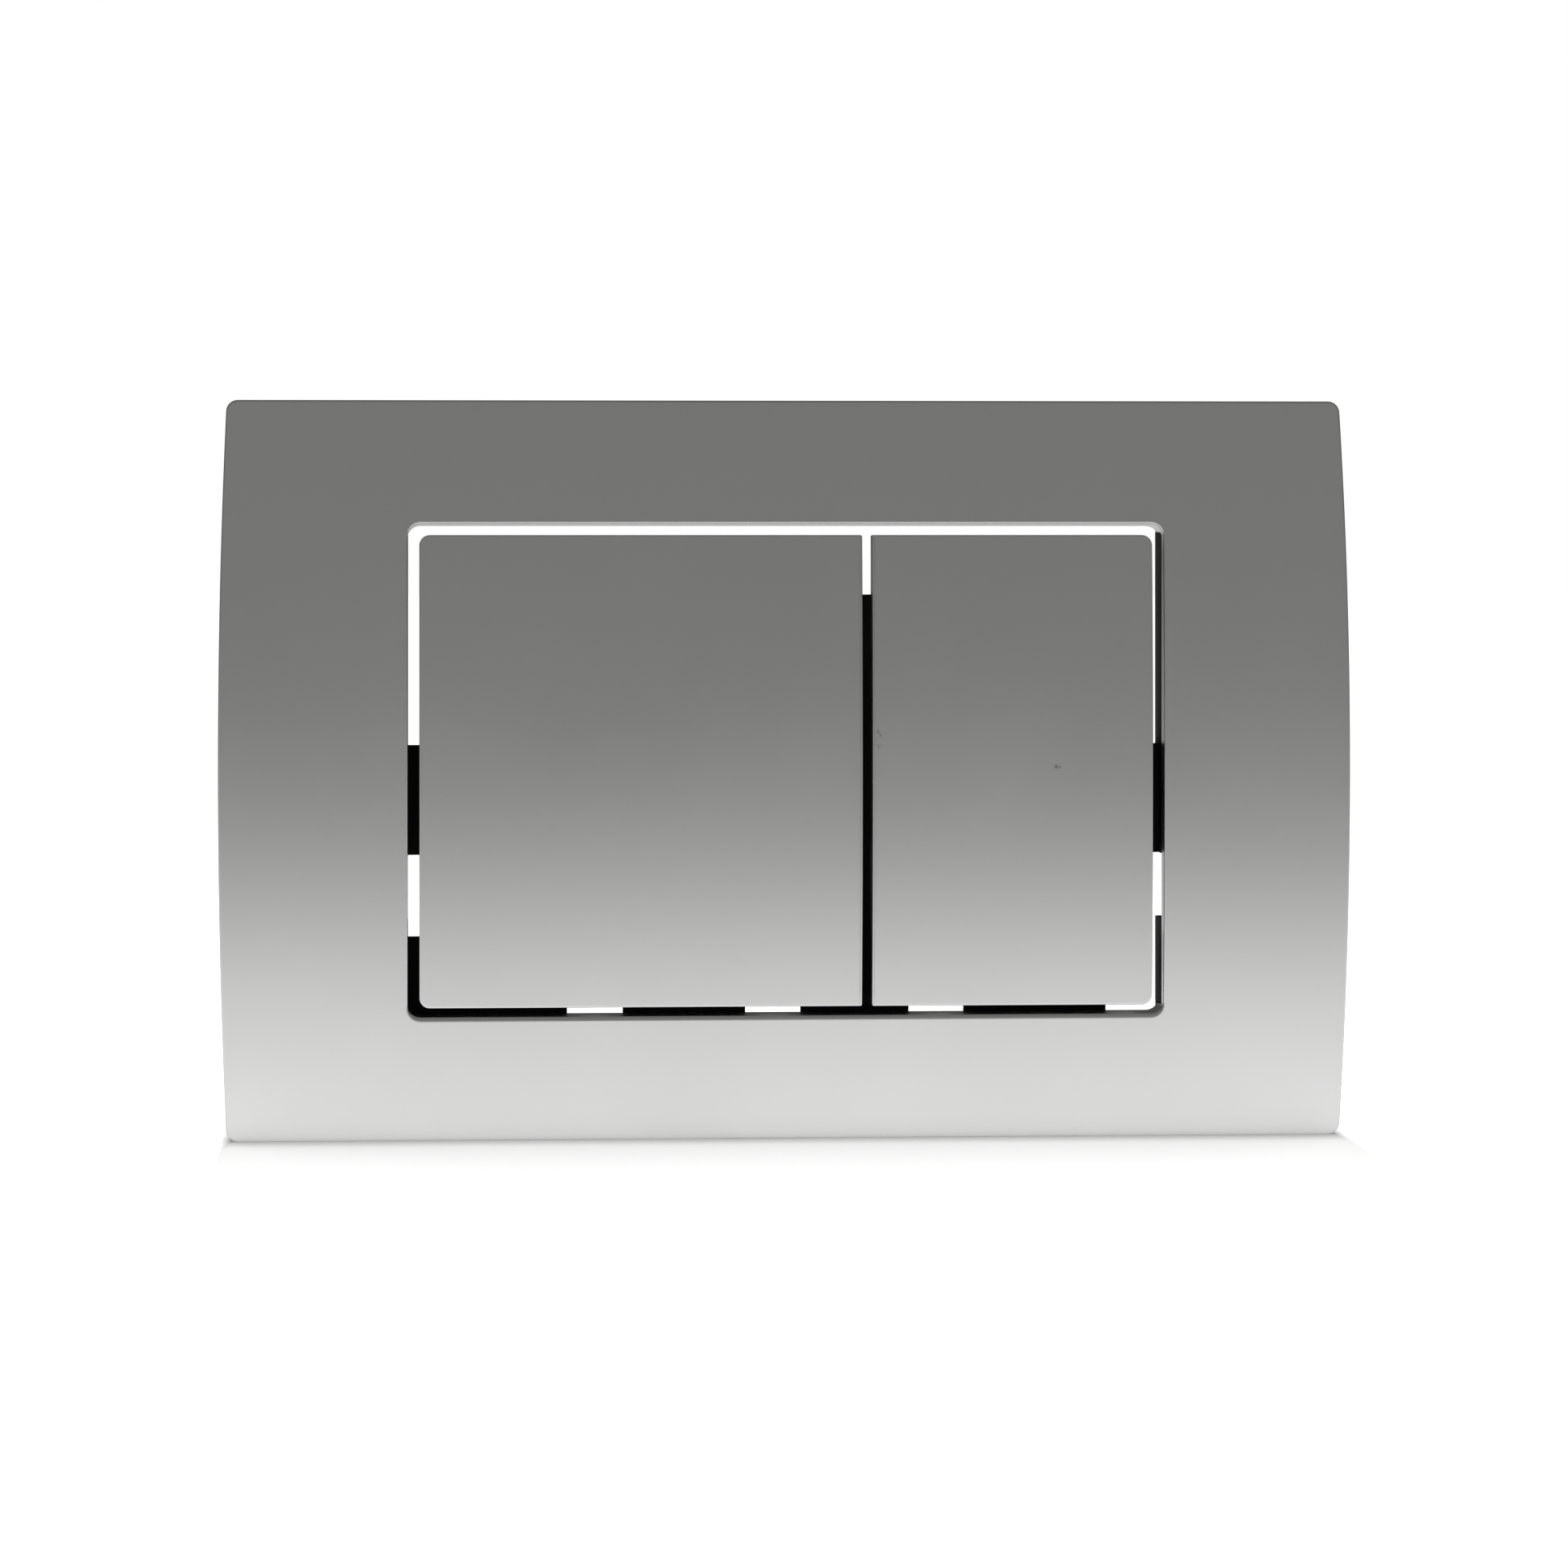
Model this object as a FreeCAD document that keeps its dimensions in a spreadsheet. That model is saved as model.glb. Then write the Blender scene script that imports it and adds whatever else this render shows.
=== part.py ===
import FreeCAD, Part
import math
import os
import re
import Sketcher

# Dual flush button plate for a concealed cistern, as it hangs on the wall.
# Millimetres. X runs to the right, Z up, and the wall plane is Y = 0.
# The plate stands in front of the wall, towards -Y, and the push rods reach back through it.

# Driving dimensions. Depths are measured back from the foremost line of the face.
# The fit gap is between pieces that seat on each other; the overlap is how far joined blocks
# and cutting blocks reach past a shared face.
SIZES = {
    # front plate
    "side_margin": 41.5,
    "top_margin": 26.75,
    "plate_depth": 17,
    "side_bow": 1.75,
    "plate_corner": 2.4,
    "face_crown": 5,
    "shell_wall": 2.2,
    "plate_bevel": 0.6,
    "rim_bevel": 0.4,
    "rib_bite": 1,
    "plate_rib": 1.4,
    "top_rib": 84,
    "side_rib": 30,
    # window in the front plate and the collar behind its rim
    "window_corner": 2.8,
    "collar_wall": 1.8,
    "side_collar_depth": 5,
    "corner_reach": 2.1,
    # buttons
    "button_gap": 2.5,
    "centre_gap": 2.15,
    "full_button_width": 97.6,
    "half_button_width": 62.25,
    "button_height": 104.5,
    "button_corner": 2.3,
    "inner_corner": 0.3,
    "button_wall": 2,
    "button_side_wall": 1.5,
    "button_depth": 6,
    "button_bevel": 0.25,
    "button_rib_height": 1.6,
    "button_rib": 1.2,
    "pusher_size": 5,
    "long_rib_low": 20,
    "long_rib_high": 14,
    # hinges at the top of the buttons
    "hinge_drop": 19.25,
    "hinge_depth": 9.5,
    "pin_radius": 1.5,
    "pin_grip": 0.02,
    "pin_running": 0.06,
    "ear_thickness": 2.5,
    "ear_gap": 1.2,
    "hinge_boss": 3.6,
    "arm_width": 5,
    "arm_inset": 5,
    "press_angle": 4,
    # carrier behind the window
    "carrier_wall": 2.1,
    "carrier_back": 1,
    "flange_thickness": 2,
    "flange_depth": 9,
    "flange_width": 10.5,
    "flange_height": 9,
    "flange_corner": 4,
    "crossbar_top": 49.6,
    "crossbar_height": 24.1,
    "post_width": 11.4,
    "post_top": 16.25,
    "band_rise": 17.5,
    "band_thickness": 2.5,
    "band_end": 3.5,
    "notch_width": 12.4,
    "notch_rise": 8.75,
    "side_notch": 14.5,
    "carrier_rib": 1.6,
    # push rods, springs and their guides
    "rod_rise": 10.75,
    "rod_radius": 3,
    "rod_reach": 40,
    "rod_running": 0.08,
    "tip_radius": 2.5,
    "tip_length": 12,
    "thread_gap": 0.05,
    "head_roof": 1.2,
    "guide_wall": 1.3,
    "guide_end": 2,
    "spring_pocket": 6.3,
    "pocket_reach": 12,
    "spring_radius": 5.2,
    "spring_wire": 0.45,
    "spring_turns": 5,
    "spring_seat": 0.2,
    "head_radius": 5.9,
    "head_thickness": 2.6,
    "head_hub": 4.3,
    "head_hub_length": 5,
    "full_outer_hook": 38.9,
    "full_inner_hook": 19.1,
    "half_inner_hook": 15.2,
    "half_outer_hook": 5.5,
    "notch_shift": 2.6,
    "hook_width": 6,
    "hook_thickness": 1.8,
    "hook_nib": 2,
    "hook_hold": 1,
    "rib_beside_hook": 8.5,
    # rubber stops
    "buffer_width": 7,
    "buffer_height": 4,
    "last_buffer_inset": 9,
    # wall frame behind the carrier
    "frame_thickness": 3,
    "frame_top_gap": 7.3,
    "frame_corner": 6,
    "frame_upstand": 4.7,
    "frame_wall": 2,
    "frame_clearance": 1,
    "frame_band": 10,
    # fixing bolts
    "bolt_radius": 4,
    "bolt_reach": 42,
    "bolt_head": 7.5,
    "bolt_head_height": 3.4,
    "bolt_recess": 1.8,
    "recess_width": 1.6,
    "recess_length": 8.6,
    "washer_reach": 8,
    "washer_thickness": 1.2,
    "washer_bore": 5.2,
    "slot_length": 17,
    "slot_clearance": 1.2,
    "bolt_inset": 8,
    "washer_room": 0.2,
    # screws between carrier and front plate
    "screw_radius": 1.3,
    "screw_length": 5.5,
    "screw_head": 2.6,
    "screw_head_height": 1.6,
    "boss_radius": 2.9,
    "boss_clearance": 0.02,
    "screw_row_height": 45,
    # spring clips that hold the plate on the wall frame
    "clip_width": 12,
    "clip_metal": 0.7,
    "clip_gap": 0.15,
    "clip_nose": 2.2,
    "clip_spacing": 120,
    "catch_height": 2,
    "catch_margin": 1,
    "catch_thickness": 1.5,
    "catch_setback": 4,
    "fit_gap": 0.3,
    "overlap": 1,
}

# Counts: ribs inside the crossbar, steps in each turn of a spring, and sides of its wire.
CROSSBAR_RIBS = 7
STEPS_PER_TURN = 10
WIRE_SIDES = 4

# Places worked out from the driving dimensions. Y places are negative in front of the wall.
PLACES = {
    "button_edge": "(full_button_width + centre_gap + half_button_width) / 2",
    "button_top": "button_height / 2",
    "half_window": "button_edge + button_gap",
    "window_top": "button_top + button_gap",
    "half_plate": "half_window + side_margin",
    "half_height": "window_top + top_margin",
    "plate_width": "half_plate * 2",
    "plate_height": "half_height * 2",
    "crown_radius": "(plate_height ^ 2 / 4 + face_crown ^ 2) / (2 * face_crown)",
    "crown_centre": "crown_radius - plate_depth",
    "bow_radius": "(plate_height ^ 2 / 4 + side_bow ^ 2) / (2 * side_bow)",
    "inner_crown": "crown_radius - shell_wall",
    "collar_side": "half_window + collar_wall",
    "collar_top": "window_top + collar_wall",
    "collar_corner": "window_corner + collar_wall",
    "side_collar_back": "side_collar_depth - plate_depth",
    "full_inner": "full_button_width - button_edge",
    "half_inner": "full_inner + centre_gap",
    "gap_middle": "full_inner + centre_gap / 2",
    "button_back": "button_depth - plate_depth",
    "button_crown": "crown_radius - button_wall",
    "hinge_z": "button_top - hinge_drop",
    "hinge_y": "hinge_depth - plate_depth",
    "carrier_rear": "-carrier_back",
    "flange_front": "flange_depth - plate_depth",
    "flange_rear": "flange_front + flange_thickness",
    "flange_side": "half_window + flange_width",
    "flange_inner": "collar_side + fit_gap",
    "flange_inner_top": "collar_top + fit_gap",
    "crossbar_high": "window_top - crossbar_top",
    "crossbar_low": "crossbar_high - crossbar_height",
    "press_slope": "tan(press_angle)",
    "crossbar_front": "button_back + (hinge_z - crossbar_low) * press_slope + fit_gap",
    "post_high": "window_top - post_top",
    "band_high": "band_rise - window_top",
    "band_front": "button_back + (hinge_z + button_top) * press_slope + fit_gap",
    "band_rear": "band_front + band_thickness",
    "collar_back": "band_front - fit_gap",
    "notch_high": "notch_rise - window_top",
    "full_hook_low": "full_outer_hook - button_edge",
    "full_hook_high": "full_inner - full_inner_hook",
    "half_hook_low": "half_inner + half_inner_hook",
    "half_hook_high": "button_edge - half_outer_hook",
    "last_notch": "half_hook_high + notch_shift",
    "full_rod_x": "(full_hook_low + full_hook_high) / 2",
    "half_rod_x": "(half_hook_low + last_notch) / 2",
    "rod_z": "rod_rise - window_top",
    "pocket_end": "pocket_reach - guide_end",
    "head_front": "button_back + fit_gap",
    "head_back": "head_front + head_thickness",
    "frame_front": "-frame_thickness",
    "frame_top": "half_height - shell_wall - frame_top_gap",
    "frame_inner_side": "flange_side + frame_clearance",
    "frame_inner_top": "frame_top - frame_band",
    "upstand_front": "frame_front - frame_upstand",
    "bolt_x": "frame_inner_side + bolt_inset",
    "frame_side": "bolt_x + washer_reach + washer_room + frame_wall",
    "hook_low": "button_side_wall - button_top + fit_gap",
    "hook_catch": "band_rear + fit_gap",
    "hook_end": "hook_catch + hook_nib",
    "rib_back": "upstand_front - frame_clearance",
    "catch_front": "-(catch_setback + catch_thickness)",
    "pilot_end": "flange_rear - screw_length - fit_gap",
    "guide_radius": "spring_pocket + guide_wall",
    "arm_front": "hinge_y - hinge_boss",
    "arm_outer": "button_edge - arm_inset",
    "arm_inner": "arm_outer - arm_width",
    "bottom_bar": "flange_inner_top + carrier_wall",
    "washer_front": "frame_front - washer_thickness",
    "bolt_front": "washer_front - bolt_head_height",
    "clip_top": "upstand_front - clip_gap - clip_metal",
    "clip_tip": "catch_front + catch_thickness",
    "post_foot": "button_back + (hinge_z - crossbar_high) * press_slope + fit_gap",
    "post_face": "button_back + fit_gap",
    "post_left": "gap_middle - post_width / 2",
    "post_right": "gap_middle + post_width / 2",
    "buffer_z": "(notch_high + band_high) / 2",
    "stopped_face": "button_wall - plate_depth + buffer_z ^ 2 / (2 * crown_radius)",
    "buffer_front": "stopped_face + (hinge_z - buffer_z + buffer_height / 2) * press_slope + fit_gap",
    "screw_x": "(flange_inner + flange_side) / 2 + fit_gap",
    "flange_top": "flange_inner_top + flange_height",
}

doc = FreeCAD.newDocument("flush_button_plate")


def rule(text, home=None):
    """Writes a rule of bare names as one that the document can bind to."""

    def full_name(match):
        word = match[0]
        for sheet, values in (("sizes", SIZES), ("places", PLACES)):
            if word in values and sheet != home:
                return sheet + "." + word
        return word

    return re.sub(r"[a-z_]\w*", full_name, text)


def write_sheet(name, values):
    """One spreadsheet row for each value: its name, and the cell that carries that name."""
    sheet = doc.addObject("Spreadsheet::Sheet", name)
    for row, (word, value) in enumerate(values.items(), start=1):
        sheet.set(f"A{row}", word)
        sheet.set(f"B{row}", str(value) if name == "sizes" else "=" + rule(value, name))
        sheet.setAlias(f"B{row}", word)
    doc.recompute()
    return sheet


sizes = write_sheet("sizes", SIZES)
places = write_sheet("places", PLACES)


def number(text):
    """The value of a sum of named sizes and plain numbers, such as 'window_top - 2'."""
    total = 0.0
    for sign, word in re.findall(r"([+-]?)\s*([\w.]+)", text):
        if word[0].isdigit():
            amount = float(word)
        else:
            amount = float(getattr(sizes if word in SIZES else places, word))
        total += -amount if sign == "-" else amount
    return total


def bind(thing, **rules):
    for key, text in rules.items():
        thing.setExpression(key, rule(text))
    return thing


def place(thing, x="0", y="0", z="0"):
    for axis, text in (("x", x), ("y", y), ("z", z)):
        if text != "0":
            thing.setExpression("Placement.Base." + axis, rule(text))
    return thing


def block(name, x, y, z):
    """A box between two rules on each axis."""
    solid = doc.addObject("Part::Box", name)
    place(solid, x[0], y[0], z[0])
    return bind(
        solid,
        Length=f"({x[1]}) - ({x[0]})",
        Width=f"({y[1]}) - ({y[0]})",
        Height=f"({z[1]}) - ({z[0]})",
    )


ACROSS = FreeCAD.Rotation(FreeCAD.Vector(0, 1, 0), 90)
INWARDS = FreeCAD.Rotation(FreeCAD.Vector(1, 0, 0), -90)


def round_bar(name, turn, radius, start, end, x="0", y="0", z="0"):
    """A cylinder that runs from start to end along X (ACROSS) or Y (INWARDS)."""
    bar = doc.addObject("Part::Cylinder", name)
    bar.Placement.Rotation = turn
    bind(bar, Radius=radius, Height=f"({end}) - ({start})")
    if turn is ACROSS:
        return place(bar, start, y, z)
    return place(bar, x, start, z)


def joined(name, *pieces):
    whole = doc.addObject("Part::MultiFuse", name)
    whole.Shapes = list(pieces)
    whole.Refine = True
    return whole


def cut(name, base, *tools):
    """The base less the tools, which are joined first when there are several."""
    result = doc.addObject("Part::Cut", name)
    result.Base = base
    result.Tool = tools[0] if len(tools) == 1 else joined(name + "_tools", *tools)
    result.Refine = True
    return result


def common(name, base, tool):
    result = doc.addObject("Part::Common", name)
    result.Base = base
    result.Tool = tool
    return result


def hold(sketch, kind, *places_and_rule):
    """Adds one constraint, and binds its value when the last item is a rule."""
    if isinstance(places_and_rule[-1], str):
        *where, text = places_and_rule
        index = sketch.addConstraint(Sketcher.Constraint(kind, *where, number(text)))
        sketch.setExpression(f"Constraints[{index}]", rule(text))
    else:
        sketch.addConstraint(Sketcher.Constraint(kind, *places_and_rule))


def corner_arc(centre_x, centre_y, radius, start, end):
    circle = Part.Circle(FreeCAD.Vector(centre_x, centre_y, 0), FreeCAD.Vector(0, 0, 1), radius)
    return Part.ArcOfCircle(circle, math.radians(start), math.radians(end))


def rounded_outline(name, left, right, low, high, corners):
    """A rectangle on the XZ plane with a radius rule for each corner, anticlockwise from lower left."""
    sketch = doc.addObject("Sketcher::SketchObject", name)
    sketch.Placement.Rotation = FreeCAD.Rotation(FreeCAD.Vector(1, 0, 0), 90)
    x0, x1, z0, z1 = (number(text) for text in (left, right, low, high))
    r = [number(text) for text in corners]
    vector = FreeCAD.Vector
    sides = [
        Part.LineSegment(vector(x0 + r[0], z0, 0), vector(x1 - r[1], z0, 0)),
        Part.LineSegment(vector(x1, z0 + r[1], 0), vector(x1, z1 - r[2], 0)),
        Part.LineSegment(vector(x1 - r[2], z1, 0), vector(x0 + r[3], z1, 0)),
        Part.LineSegment(vector(x0, z1 - r[3], 0), vector(x0, z0 + r[0], 0)),
    ]
    arcs = [
        corner_arc(x0 + r[0], z0 + r[0], r[0], 180, 270),
        corner_arc(x1 - r[1], z0 + r[1], r[1], 270, 360),
        corner_arc(x1 - r[2], z1 - r[2], r[2], 0, 90),
        corner_arc(x0 + r[3], z1 - r[3], r[3], 90, 180),
    ]
    sketch.addGeometry(sides + arcs)
    for corner in range(4):
        arc = corner + 4
        hold(sketch, "Tangent", arc, 2, corner, 1)
        hold(sketch, "Tangent", arc, 1, (corner + 3) % 4, 2)
        hold(sketch, "Radius", arc, corners[corner])
    hold(sketch, "Horizontal", 0)
    hold(sketch, "Horizontal", 2)
    hold(sketch, "Vertical", 1)
    hold(sketch, "Vertical", 3)
    hold(sketch, "DistanceY", -1, 1, 0, 1, low)
    hold(sketch, "DistanceX", -1, 1, 1, 1, right)
    hold(sketch, "DistanceY", -1, 1, 2, 1, high)
    hold(sketch, "DistanceX", -1, 1, 3, 1, left)
    return sketch


def bowed_outline(name, inset):
    """The plate's outline on the XZ plane: straight top and bottom, sides bowed outwards."""
    sketch = doc.addObject("Sketcher::SketchObject", name)
    sketch.Placement.Rotation = FreeCAD.Rotation(FreeCAD.Vector(1, 0, 0), 90)
    top = number("half_height - " + inset)
    bow = number("bow_radius - " + inset)
    corner = number("plate_corner")
    side_centre = number("half_plate - bow_radius")
    corner_x = side_centre + math.sqrt((bow - corner) ** 2 - (top - corner) ** 2)
    lean = math.degrees(math.atan2(top - corner, corner_x - side_centre))
    vector = FreeCAD.Vector
    sketch.addGeometry(
        [
            Part.LineSegment(vector(-corner_x, -top, 0), vector(corner_x, -top, 0)),
            corner_arc(corner_x, corner - top, corner, 270, 360 - lean),
            corner_arc(side_centre, 0, bow, -lean, lean),
            corner_arc(corner_x, top - corner, corner, lean, 90),
            Part.LineSegment(vector(corner_x, top, 0), vector(-corner_x, top, 0)),
            corner_arc(-corner_x, top - corner, corner, 90, 180 - lean),
            corner_arc(-side_centre, 0, bow, 180 - lean, 180 + lean),
            corner_arc(-corner_x, corner - top, corner, 180 + lean, 270),
        ]
    )
    for piece in range(8):
        hold(sketch, "Tangent", piece, 2, (piece + 1) % 8, 1)
    for arc in (1, 3, 5, 7):
        hold(sketch, "Radius", arc, "plate_corner")
    hold(sketch, "Horizontal", 0)
    hold(sketch, "Horizontal", 4)
    hold(sketch, "DistanceY", -1, 1, 4, 1, "half_height - " + inset)
    hold(sketch, "DistanceY", 0, 1, -1, 1, "half_height - " + inset)
    for side, direction in ((2, 1), (6, -1)):
        hold(sketch, "PointOnObject", side, 3, -1)
        hold(sketch, "Radius", side, "bow_radius - " + inset)
        centre = "half_plate - bow_radius" if direction > 0 else "bow_radius - half_plate"
        hold(sketch, "DistanceX", -1, 1, side, 3, centre)
    return sketch


def prism(name, sketch, front, rear):
    """A sketch of the XZ plane, drawn out from its rear place to its front place."""
    place(sketch, y=rear)
    solid = doc.addObject("Part::Extrusion", name)
    solid.Base = sketch
    solid.DirMode = "Custom"
    solid.Dir = FreeCAD.Vector(0, -1, 0)
    solid.Solid = True
    return bind(solid, LengthFwd=f"({rear}) - ({front})")


def crown(name, radius):
    """The long cylinder whose front is the crowned face."""
    return round_bar(name, ACROSS, radius, "-plate_width", "plate_width", y="crown_centre")


def front_edges(shape, radius):
    """Numbers of the edges round the crowned face of a block."""
    face = max((f for f in shape.Faces if isinstance(f.Surface, Part.Cylinder)
                and abs(f.Surface.Radius - radius) < 1e-6), key=lambda f: f.Area)
    return [n for n, edge in enumerate(shape.Edges, start=1)
            if any(edge.isSame(other) for other in face.Edges)]


def bevelled(name, base, size, rim_size=None):
    """Bevels the edges of the crowned face; those round the window take the rim's size."""
    doc.recompute()
    result = doc.addObject("Part::Chamfer", name)
    result.Base = base
    edges = []
    for n in front_edges(base.Shape, number("crown_radius")):
        box = base.Shape.Edges[n - 1].BoundBox
        in_rim = rim_size and max(abs(box.XMin), abs(box.XMax)) < number("collar_side")
        bevel = number(rim_size if in_rim else size)
        edges.append((n, bevel, bevel))
    result.Edges = edges
    return result


def signed(sign, text):
    return text if sign > 0 else f"-({text})"


def screw_points():
    """Two screws on each side of the window."""
    return [(signed(side, "screw_x"), signed(row, "screw_row_height"))
            for side in (-1, 1) for row in (-1, 1)]


def cover_plate():
    """The crowned front shell: skirt, window with its collar, bosses, ribs and lugs."""
    body = common(
        "plate_outside",
        prism("plate_block", bowed_outline("plate_outline", "0"), "-plate_depth - overlap", "0"),
        crown("face_bar", "crown_radius"),
    )
    window = rounded_outline("window_outline", "-half_window", "half_window",
                             "-window_top", "window_top", ["window_corner"] * 4)
    window_block = prism("window_hole", window, "-plate_depth - overlap", "overlap")
    opened = cut("plate_opened", body, window_block)
    bevelled_block = bevelled("plate_bevelled", opened, "plate_bevel", "rim_bevel")

    inside = common(
        "plate_inside",
        prism("inner_block", bowed_outline("inner_outline", "shell_wall"), "-plate_depth", "overlap"),
        crown("inner_bar", "inner_crown"),
    )
    ring = rounded_outline("collar_outline", "-collar_side", "collar_side",
                           "-collar_top", "collar_top", ["collar_corner"] * 4)
    hollow = cut("hollow", inside, prism("collar_block", ring, "-plate_depth - overlap", "overlap * 2"))
    ring_behind = rounded_outline("collar_outline_behind", "-collar_side", "collar_side",
                                  "-collar_top", "collar_top", ["collar_corner"] * 4)
    behind = prism("behind_collar", ring_behind, "collar_back", "overlap")
    beside = block("beside_collar", ("-collar_side", "collar_side"), ("side_collar_back", "overlap"),
                   ("corner_reach - window_top", "window_top - corner_reach"))
    shell = cut("plate_shell", bevelled_block, hollow, behind, beside)

    room = common(
        "rib_room",
        prism("rib_block", bowed_outline("rib_outline", "rib_bite"), "-plate_depth", "0"),
        crown("rib_bar", "crown_radius - rib_bite"),
    )
    inner_parts = []
    for n, (x, z) in enumerate(screw_points()):
        inner_parts.append(round_bar(f"boss_{n}", INWARDS, "boss_radius",
                                     "-plate_depth", "flange_front - fit_gap", x, z=z))
    for n, x in enumerate(("-top_rib", "0", "top_rib")):
        for row in (-1, 1):
            z = ("collar_top - overlap", "half_height")
            if row < 0:
                z = ("-half_height", "overlap - collar_top")
            inner_parts.append(block(f"top_rib_{n}_{row + 1}",
                                     (f"{x} - plate_rib / 2", f"{x} + plate_rib / 2"),
                                     ("-plate_depth", "rib_back"), z))
    for side in (-1, 1):
        x = ("flange_inner + fit_gap", "half_plate")
        if side < 0:
            x = ("-half_plate", "-flange_inner - fit_gap")
        for n, z in enumerate(("-side_rib", "side_rib")):
            inner_parts.append(block(f"side_rib_{n}_{side + 1}", x, ("-plate_depth", "rib_back"),
                                     (f"{z} - plate_rib / 2", f"{z} + plate_rib / 2")))
        for row in (-1, 1):
            low, high = "half_height - shell_wall - catch_height", "half_height"
            z = (low, high) if row > 0 else (f"-({high})", f"-({low})")
            middle = signed(side, "clip_spacing / 2")
            reach = "clip_width / 2 + catch_margin"
            inner_parts.append(block(f"catch_{side + 1}_{row + 1}",
                                     (f"{middle} - ({reach})", f"{middle} + {reach}"),
                                     ("catch_front", "-catch_setback"), z))
    supports = common("plate_supports", joined("plate_support_blocks", *inner_parts), room)
    holes = [round_bar(f"pilot_{n}", INWARDS, "screw_radius + boss_clearance",
                       "pilot_end", "0", x, z=z)
             for n, (x, z) in enumerate(screw_points())]
    whole = joined("plate_whole", shell, supports)
    return cut("cover_plate", whole, *holes)


def button(name, left, right, corners, ears, ribs, pusher_x, hooks):
    """A shallow crowned shell with hinge ears, a pusher, stop hooks and ribs."""
    outline = rounded_outline(f"{name}_outline", left, right, "-button_top", "button_top", corners)
    outside = common(f"{name}_outside",
                     prism(f"{name}_block", outline, "-plate_depth - overlap", "button_back"),
                     crown(f"{name}_bar", "crown_radius"))
    bevelled_block = bevelled(f"{name}_bevelled", outside, "button_bevel")
    room = block(f"{name}_room", (f"{left} + button_side_wall", f"{right} - button_side_wall"),
                 ("-plate_depth", "button_back + overlap"),
                 ("button_side_wall - button_top", "button_top - button_side_wall"))
    hollow = common(f"{name}_hollow", room, crown(f"{name}_hollow_bar", "button_crown"))
    shell = cut(f"{name}_shell", bevelled_block, hollow)

    stems = []
    for n, (x0, x1) in enumerate(ears):
        stems.append(block(f"{name}_ear_{n}", (x0, x1), ("-plate_depth", "hinge_y"),
                           ("hinge_z - hinge_boss", "hinge_z + hinge_boss")))
        stems.append(round_bar(f"{name}_ear_end_{n}", ACROSS, "hinge_boss", x0, x1,
                               y="hinge_y", z="hinge_z"))
    stems.append(block(f"{name}_pusher",
                       (f"{pusher_x} - pusher_size / 2", f"{pusher_x} + pusher_size / 2"),
                       ("-plate_depth", "button_back"),
                       ("rod_z - pusher_size / 2", "rod_z + pusher_size / 2")))
    for n, x in enumerate(hooks):
        wide = (f"{x} - hook_width / 2", f"{x} + hook_width / 2")
        stems.append(block(f"{name}_hook_{n}", wide, ("-plate_depth", "hook_end"),
                           ("hook_low", "hook_low + hook_thickness")))
        stems.append(block(f"{name}_nib_{n}", wide, ("hook_catch", "hook_end"),
                           ("hook_low", "notch_high + hook_hold")))
    bars = [block(f"{name}_long_rib_{n}", (f"{left} + overlap", f"{right} - overlap"),
                  ("-plate_depth", "0"), (f"{z} - button_rib / 2", f"{z} + button_rib / 2"))
            for n, z in enumerate(("-long_rib_low", "long_rib_high"))]
    bars += [block(f"{name}_rib_{n}", (f"{x} - button_rib / 2", f"{x} + button_rib / 2"),
                   ("-plate_depth", "0"), ("overlap - button_top", "button_top - overlap"))
             for n, x in enumerate(ribs)]
    rib_layer = cut(f"{name}_rib_layer", crown(f"{name}_rib_outside", "crown_radius - rib_bite"),
                    crown(f"{name}_rib_inside", "button_crown - button_rib_height"))
    rib_grid = common(f"{name}_ribs", joined(f"{name}_rib_bars", *bars), rib_layer)
    trimmed = common(f"{name}_stems", joined(f"{name}_stem_blocks", *stems),
                     crown(f"{name}_stem_bar", "crown_radius - rib_bite"))
    bore = round_bar(f"{name}_pin_bore", ACROSS, "pin_radius + pin_running",
                     ears[0][0] + " - overlap", ears[-1][1] + " + overlap", y="hinge_y", z="hinge_z")
    return cut(name, joined(f"{name}_whole", shell, rib_grid, trimmed), bore)


def side_profile(name, points):
    """A closed polygon on the YZ plane; each point is a pair of rules."""
    sketch = doc.addObject("Sketcher::SketchObject", name)
    sketch.Placement.Rotation = FreeCAD.Rotation(FreeCAD.Vector(1, 1, 1), 120)
    return polygon(sketch, points)


def polygon(sketch, points):
    corners = [FreeCAD.Vector(number(a), number(b), 0) for a, b in points]
    count = len(corners)
    for n in range(count):
        sketch.addGeometry(Part.LineSegment(corners[n], corners[(n + 1) % count]))
    for n, (a, b) in enumerate(points):
        hold(sketch, "Coincident", n, 2, (n + 1) % count, 1)
        for kind, text, axis in (("DistanceX", a, -2), ("DistanceY", b, -1)):
            if text == "0":
                hold(sketch, "PointOnObject", n, 1, axis)
            else:
                hold(sketch, kind, -1, 1, n, 1, text)
    return sketch


def slab(name, sketch, left, right):
    """A YZ profile drawn out along X."""
    place(sketch, x=left)
    solid = doc.addObject("Part::Extrusion", name)
    solid.Base = sketch
    solid.DirMode = "Custom"
    solid.Dir = FreeCAD.Vector(1, 0, 0)
    solid.Solid = True
    return bind(solid, LengthFwd=f"({right}) - ({left})")


def turned(name, points, x="0", z="0"):
    """A body turned about its own Y axis; each point is a pair of rules, radius and depth."""
    body = doc.addObject("PartDesign::Body", name)
    sketch = body.newObject("Sketcher::SketchObject", name + "_profile")
    plane = next(f for f in body.Origin.OriginFeatures if f.Role == "XY_Plane")
    sketch.AttachmentSupport = [(plane, "")]
    sketch.MapMode = "FlatFace"
    polygon(sketch, points)
    turn = body.newObject("PartDesign::Revolution", name + "_turn")
    turn.Profile = sketch
    turn.ReferenceAxis = (sketch, ["V_Axis"])
    turn.Angle = 360
    return place(body, x, z=z)


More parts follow.
